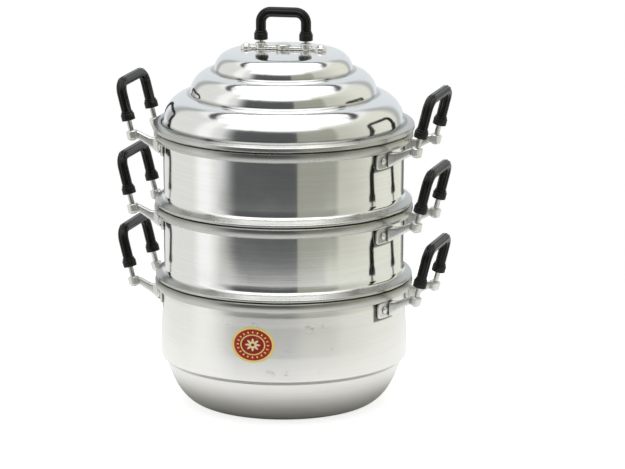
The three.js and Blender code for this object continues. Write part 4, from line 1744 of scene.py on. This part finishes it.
@dataclass(frozen=True)
class Studio:
    """Floor, camera, lamp, world and reflection cards. Lengths are in metres."""

    azimuth: float = 17.0
    elevation: float = 12.9
    distance: float = 4.68
    shift_right: float = 0.0336
    aim_height: float = 0.197
    lens: float = 230.4
    sensor: float = 36.0
    clip: Pair = (0.1, 100.0)
    world_light: float = 0.62
    floor_radius: float = 0.72
    floor_thickness: float = 0.002
    floor_points: int = 128
    # painted shadow: the floor's colour near the stack and the radii over which it fades
    floor_painted_shadow: Colour = (0.5, 0.5, 0.48)
    floor_far: Colour = (0.9, 0.9, 0.9)
    floor_shadow_fade: Pair = (0.11, 0.19)
    floor_seen: Fade = (0.1, 0.22, 0.78, 0.5)
    # painted light: a glow only reflections see, none near the stack and fading far out
    floor_painted_glow: Fade = (0.125, 0.19, 0.0, 0.32)
    floor_painted_glow_far: Fade = (0.22, 0.8, 1.0, 0.1)
    card_middle: float = 0.26
    card_grid: tuple[int, int] = (25, 13)
    cards: tuple[Card, ...] = CARDS
    lamp: Softbox = Softbox("overhead", -5.0, 86.0, 1.5, (1.7, 1.5), 1.35)

    def world(self) -> None:
        """White where the camera, gloss or glass looks, and a softer white that gives light."""
        world = bpy.data.worlds.new("white_room")
        world.use_nodes = True
        bpy.context.scene.world = world
        tree = world.node_tree
        back = next(n for n in tree.nodes if n.type == "BACKGROUND")
        back.inputs[0].default_value = (1.0, 1.0, 1.0, 1.0)
        path = tree.nodes.new("ShaderNodeLightPath")
        seen = path.outputs["Is Camera Ray"]
        for ray in ("Is Glossy Ray", "Is Transmission Ray"):
            either = tree.nodes.new("ShaderNodeMath")
            either.operation = "MAXIMUM"
            tree.links.new(seen, either.inputs[0])
            tree.links.new(path.outputs[ray], either.inputs[1])
            seen = either.outputs[0]
        level = tree.nodes.new("ShaderNodeMapRange")
        level.inputs["To Min"].default_value = self.world_light
        level.inputs["To Max"].default_value = 1.0
        tree.links.new(seen, level.inputs["Value"])
        tree.links.new(level.outputs[0], back.inputs[1])

    def floor(self) -> None:
        """A round pale floor that is white where it is seen and keeps the object's shadow. Its
        colour is darkened near the stack as a painted shadow, and a ring of it glows for
        reflections only as painted light.
        """
        bench = Bench("studio_floor")
        path = bench.node("ShaderNodeLightPath")
        away = bench.vectors("LENGTH", bench.place())
        # painted light seen in reflections, dark near the stack as a painted shadow
        gloss = bench.product(bench.spread(away, *self.floor_painted_glow),
                              bench.spread(away, *self.floor_painted_glow_far))
        pale = bench.spread(away, *self.floor_seen)
        seen = bench.most(bench.product(path.outputs["Is Camera Ray"], pale),
                          bench.product(path.outputs["Is Glossy Ray"], gloss))
        # painted shadow: the floor darker near the stack
        ground = bench.blend(bench.spread(away, *self.floor_shadow_fade), self.floor_painted_shadow, self.floor_far)
        bench.set(Base_Color=ground, Roughness=1.0, Specular_IOR_Level=0.0,
                  Emission_Color=(1.0, 1.0, 1.0), Emission_Strength=seen)
        edge, low = self.floor_radius / MM, -self.floor_thickness / MM
        line = np.array([[0, low], [edge, low], [edge, 0], [0, 0]])
        mesh = turned(line, self.floor_points).mesh("floor")
        mesh.materials.append(bench.material)
        floor = placed("floor", mesh)
        log.info("floor: %d faces", len(mesh.polygons))

    def direction(self, turn: np.ndarray, rise: np.ndarray) -> np.ndarray:
        """Unit vectors towards a turn from the camera's direction and a rise, in degrees."""
        turn, rise = np.radians(self.azimuth - 90 + turn), np.radians(rise)
        flat = np.cos(rise)
        return np.stack([np.cos(turn) * flat, np.sin(turn) * flat, np.sin(rise)], -1)

    def card_finish(self, card: Card) -> bpy.types.Material:
        """A card's glow, clear towards its edges."""
        bench = Bench(card.name)
        u, v, _ = bench.split(bench.node("ShaderNodeUVMap", uv_map="card").outputs[0])
        left, right, low, high = card.feather
        mask = bench.product(bench.window(u, 0.0, left, 1.0 - right, 1.0),
                             bench.window(v, 0.0, low, 1.0 - high, 1.0))
        glow = bench.node("ShaderNodeEmission")
        bench.feed(glow.inputs[0], card.tone)
        clear = bench.node("ShaderNodeBsdfTransparent")
        mix = bench.filled(bench.node("ShaderNodeMixShader"),
                           (mask, clear.outputs[0], glow.outputs[0]))
        output = next(n for n in bench.tree.nodes if n.type == "OUTPUT_MATERIAL")
        bench.feed(output.inputs[0], mix.outputs[0])
        bench.tree.nodes.remove(bench.shader)
        return bench.material

    def card(self, card: Card) -> None:
        """A patch of a sphere round the stack that only reflections see, soft at its edges.

        A share u of the turn and v of the rise give the point at that direction and card distance.
        """
        across, up = self.card_grid
        u, v = np.meshgrid(np.linspace(0, 1, across), np.linspace(0, 1, up))
        turn = card.turns[0] + (card.turns[1] - card.turns[0]) * u
        low = card.low[0] + (card.low[1] - card.low[0]) * u
        high = card.high[0] + (card.high[1] - card.high[0]) * u
        points = self.direction(turn, low + (high - low) * v) * card.distance
        points = points + np.array([0, 0, self.card_middle])
        i = (np.arange(up - 1)[:, None] * across + np.arange(across - 1)[None, :]).ravel()
        faces = np.stack([i, i + across, i + across + 1, i + 1], 1)
        mesh = Shape(points.reshape(-1, 3) / MM, faces, NO_TRIANGLES).mesh(card.name)
        uv = mesh.uv_layers.new(name="card")
        both = np.stack([u.ravel(), v.ravel()], 1)[faces.ravel()]
        uv.data.foreach_set("uv", both.ravel().astype(np.float32))
        mesh.materials.append(self.card_finish(card))
        obj = placed(card.name, mesh)
        obj.visible_camera = False
        obj.visible_diffuse = False
        obj.visible_shadow = False

    def softbox(self, box: Softbox) -> None:
        """Sets up a lamp. Its power is radiance times pi times its area."""
        data = bpy.data.lights.new(box.name, "AREA")
        data.shape = "RECTANGLE"
        data.size, data.size_y = box.size
        data.energy = box.radiance * math.pi * box.size[0] * box.size[1]
        way = Vector(self.direction(np.array(box.turn), np.array(box.rise)))
        lamp = placed(box.name, data)
        lamp.location = way * box.distance + Vector((0, 0, self.card_middle))
        lamp.rotation_euler = way.to_track_quat("Z", "Y").to_euler()

    def camera(self) -> None:
        """A long lens at the photograph's angle, moved a little to the right in its own picture."""
        data = bpy.data.cameras.new("camera")
        data.lens, data.sensor_width = self.lens, self.sensor
        data.clip_start, data.clip_end = self.clip
        spin = Matrix.Rotation(math.radians(self.azimuth), 3, "Z")
        tilt = math.radians(self.elevation)
        back = spin @ Vector((0, -math.cos(tilt), math.sin(tilt)))
        aim = Vector((0, 0, self.aim_height)) + spin @ Vector((self.shift_right, 0, 0))
        camera = placed("camera", data)
        camera.location = aim + back * self.distance
        camera.rotation_euler = back.to_track_quat("Z", "Y").to_euler()
        bpy.context.scene.camera = camera

    def build(self) -> None:
        """Sets up the whole studio."""
        self.camera()
        self.world()
        self.floor()
        for card in self.cards:
            self.card(card)
        self.softbox(self.lamp)
        bpy.context.scene.view_settings.view_transform = "Standard"
        log.info("studio: %d cards", len(self.cards))


def main() -> None:
    """Builds the studio and the four vessels' pieces."""
    logging.basicConfig(level=logging.INFO, format="%(name)s: %(message)s")
    Studio().build()
    shop = Workshop(make_finishes())
    Pot().dress(shop)
    Tray("lower_tray", 150.0).dress(shop)
    Tray("upper_tray", 237.5).dress(shop)
    Lid().dress(shop)
    log.info("%d pieces made", shop.made)


if __name__ == "__main__":
    main()
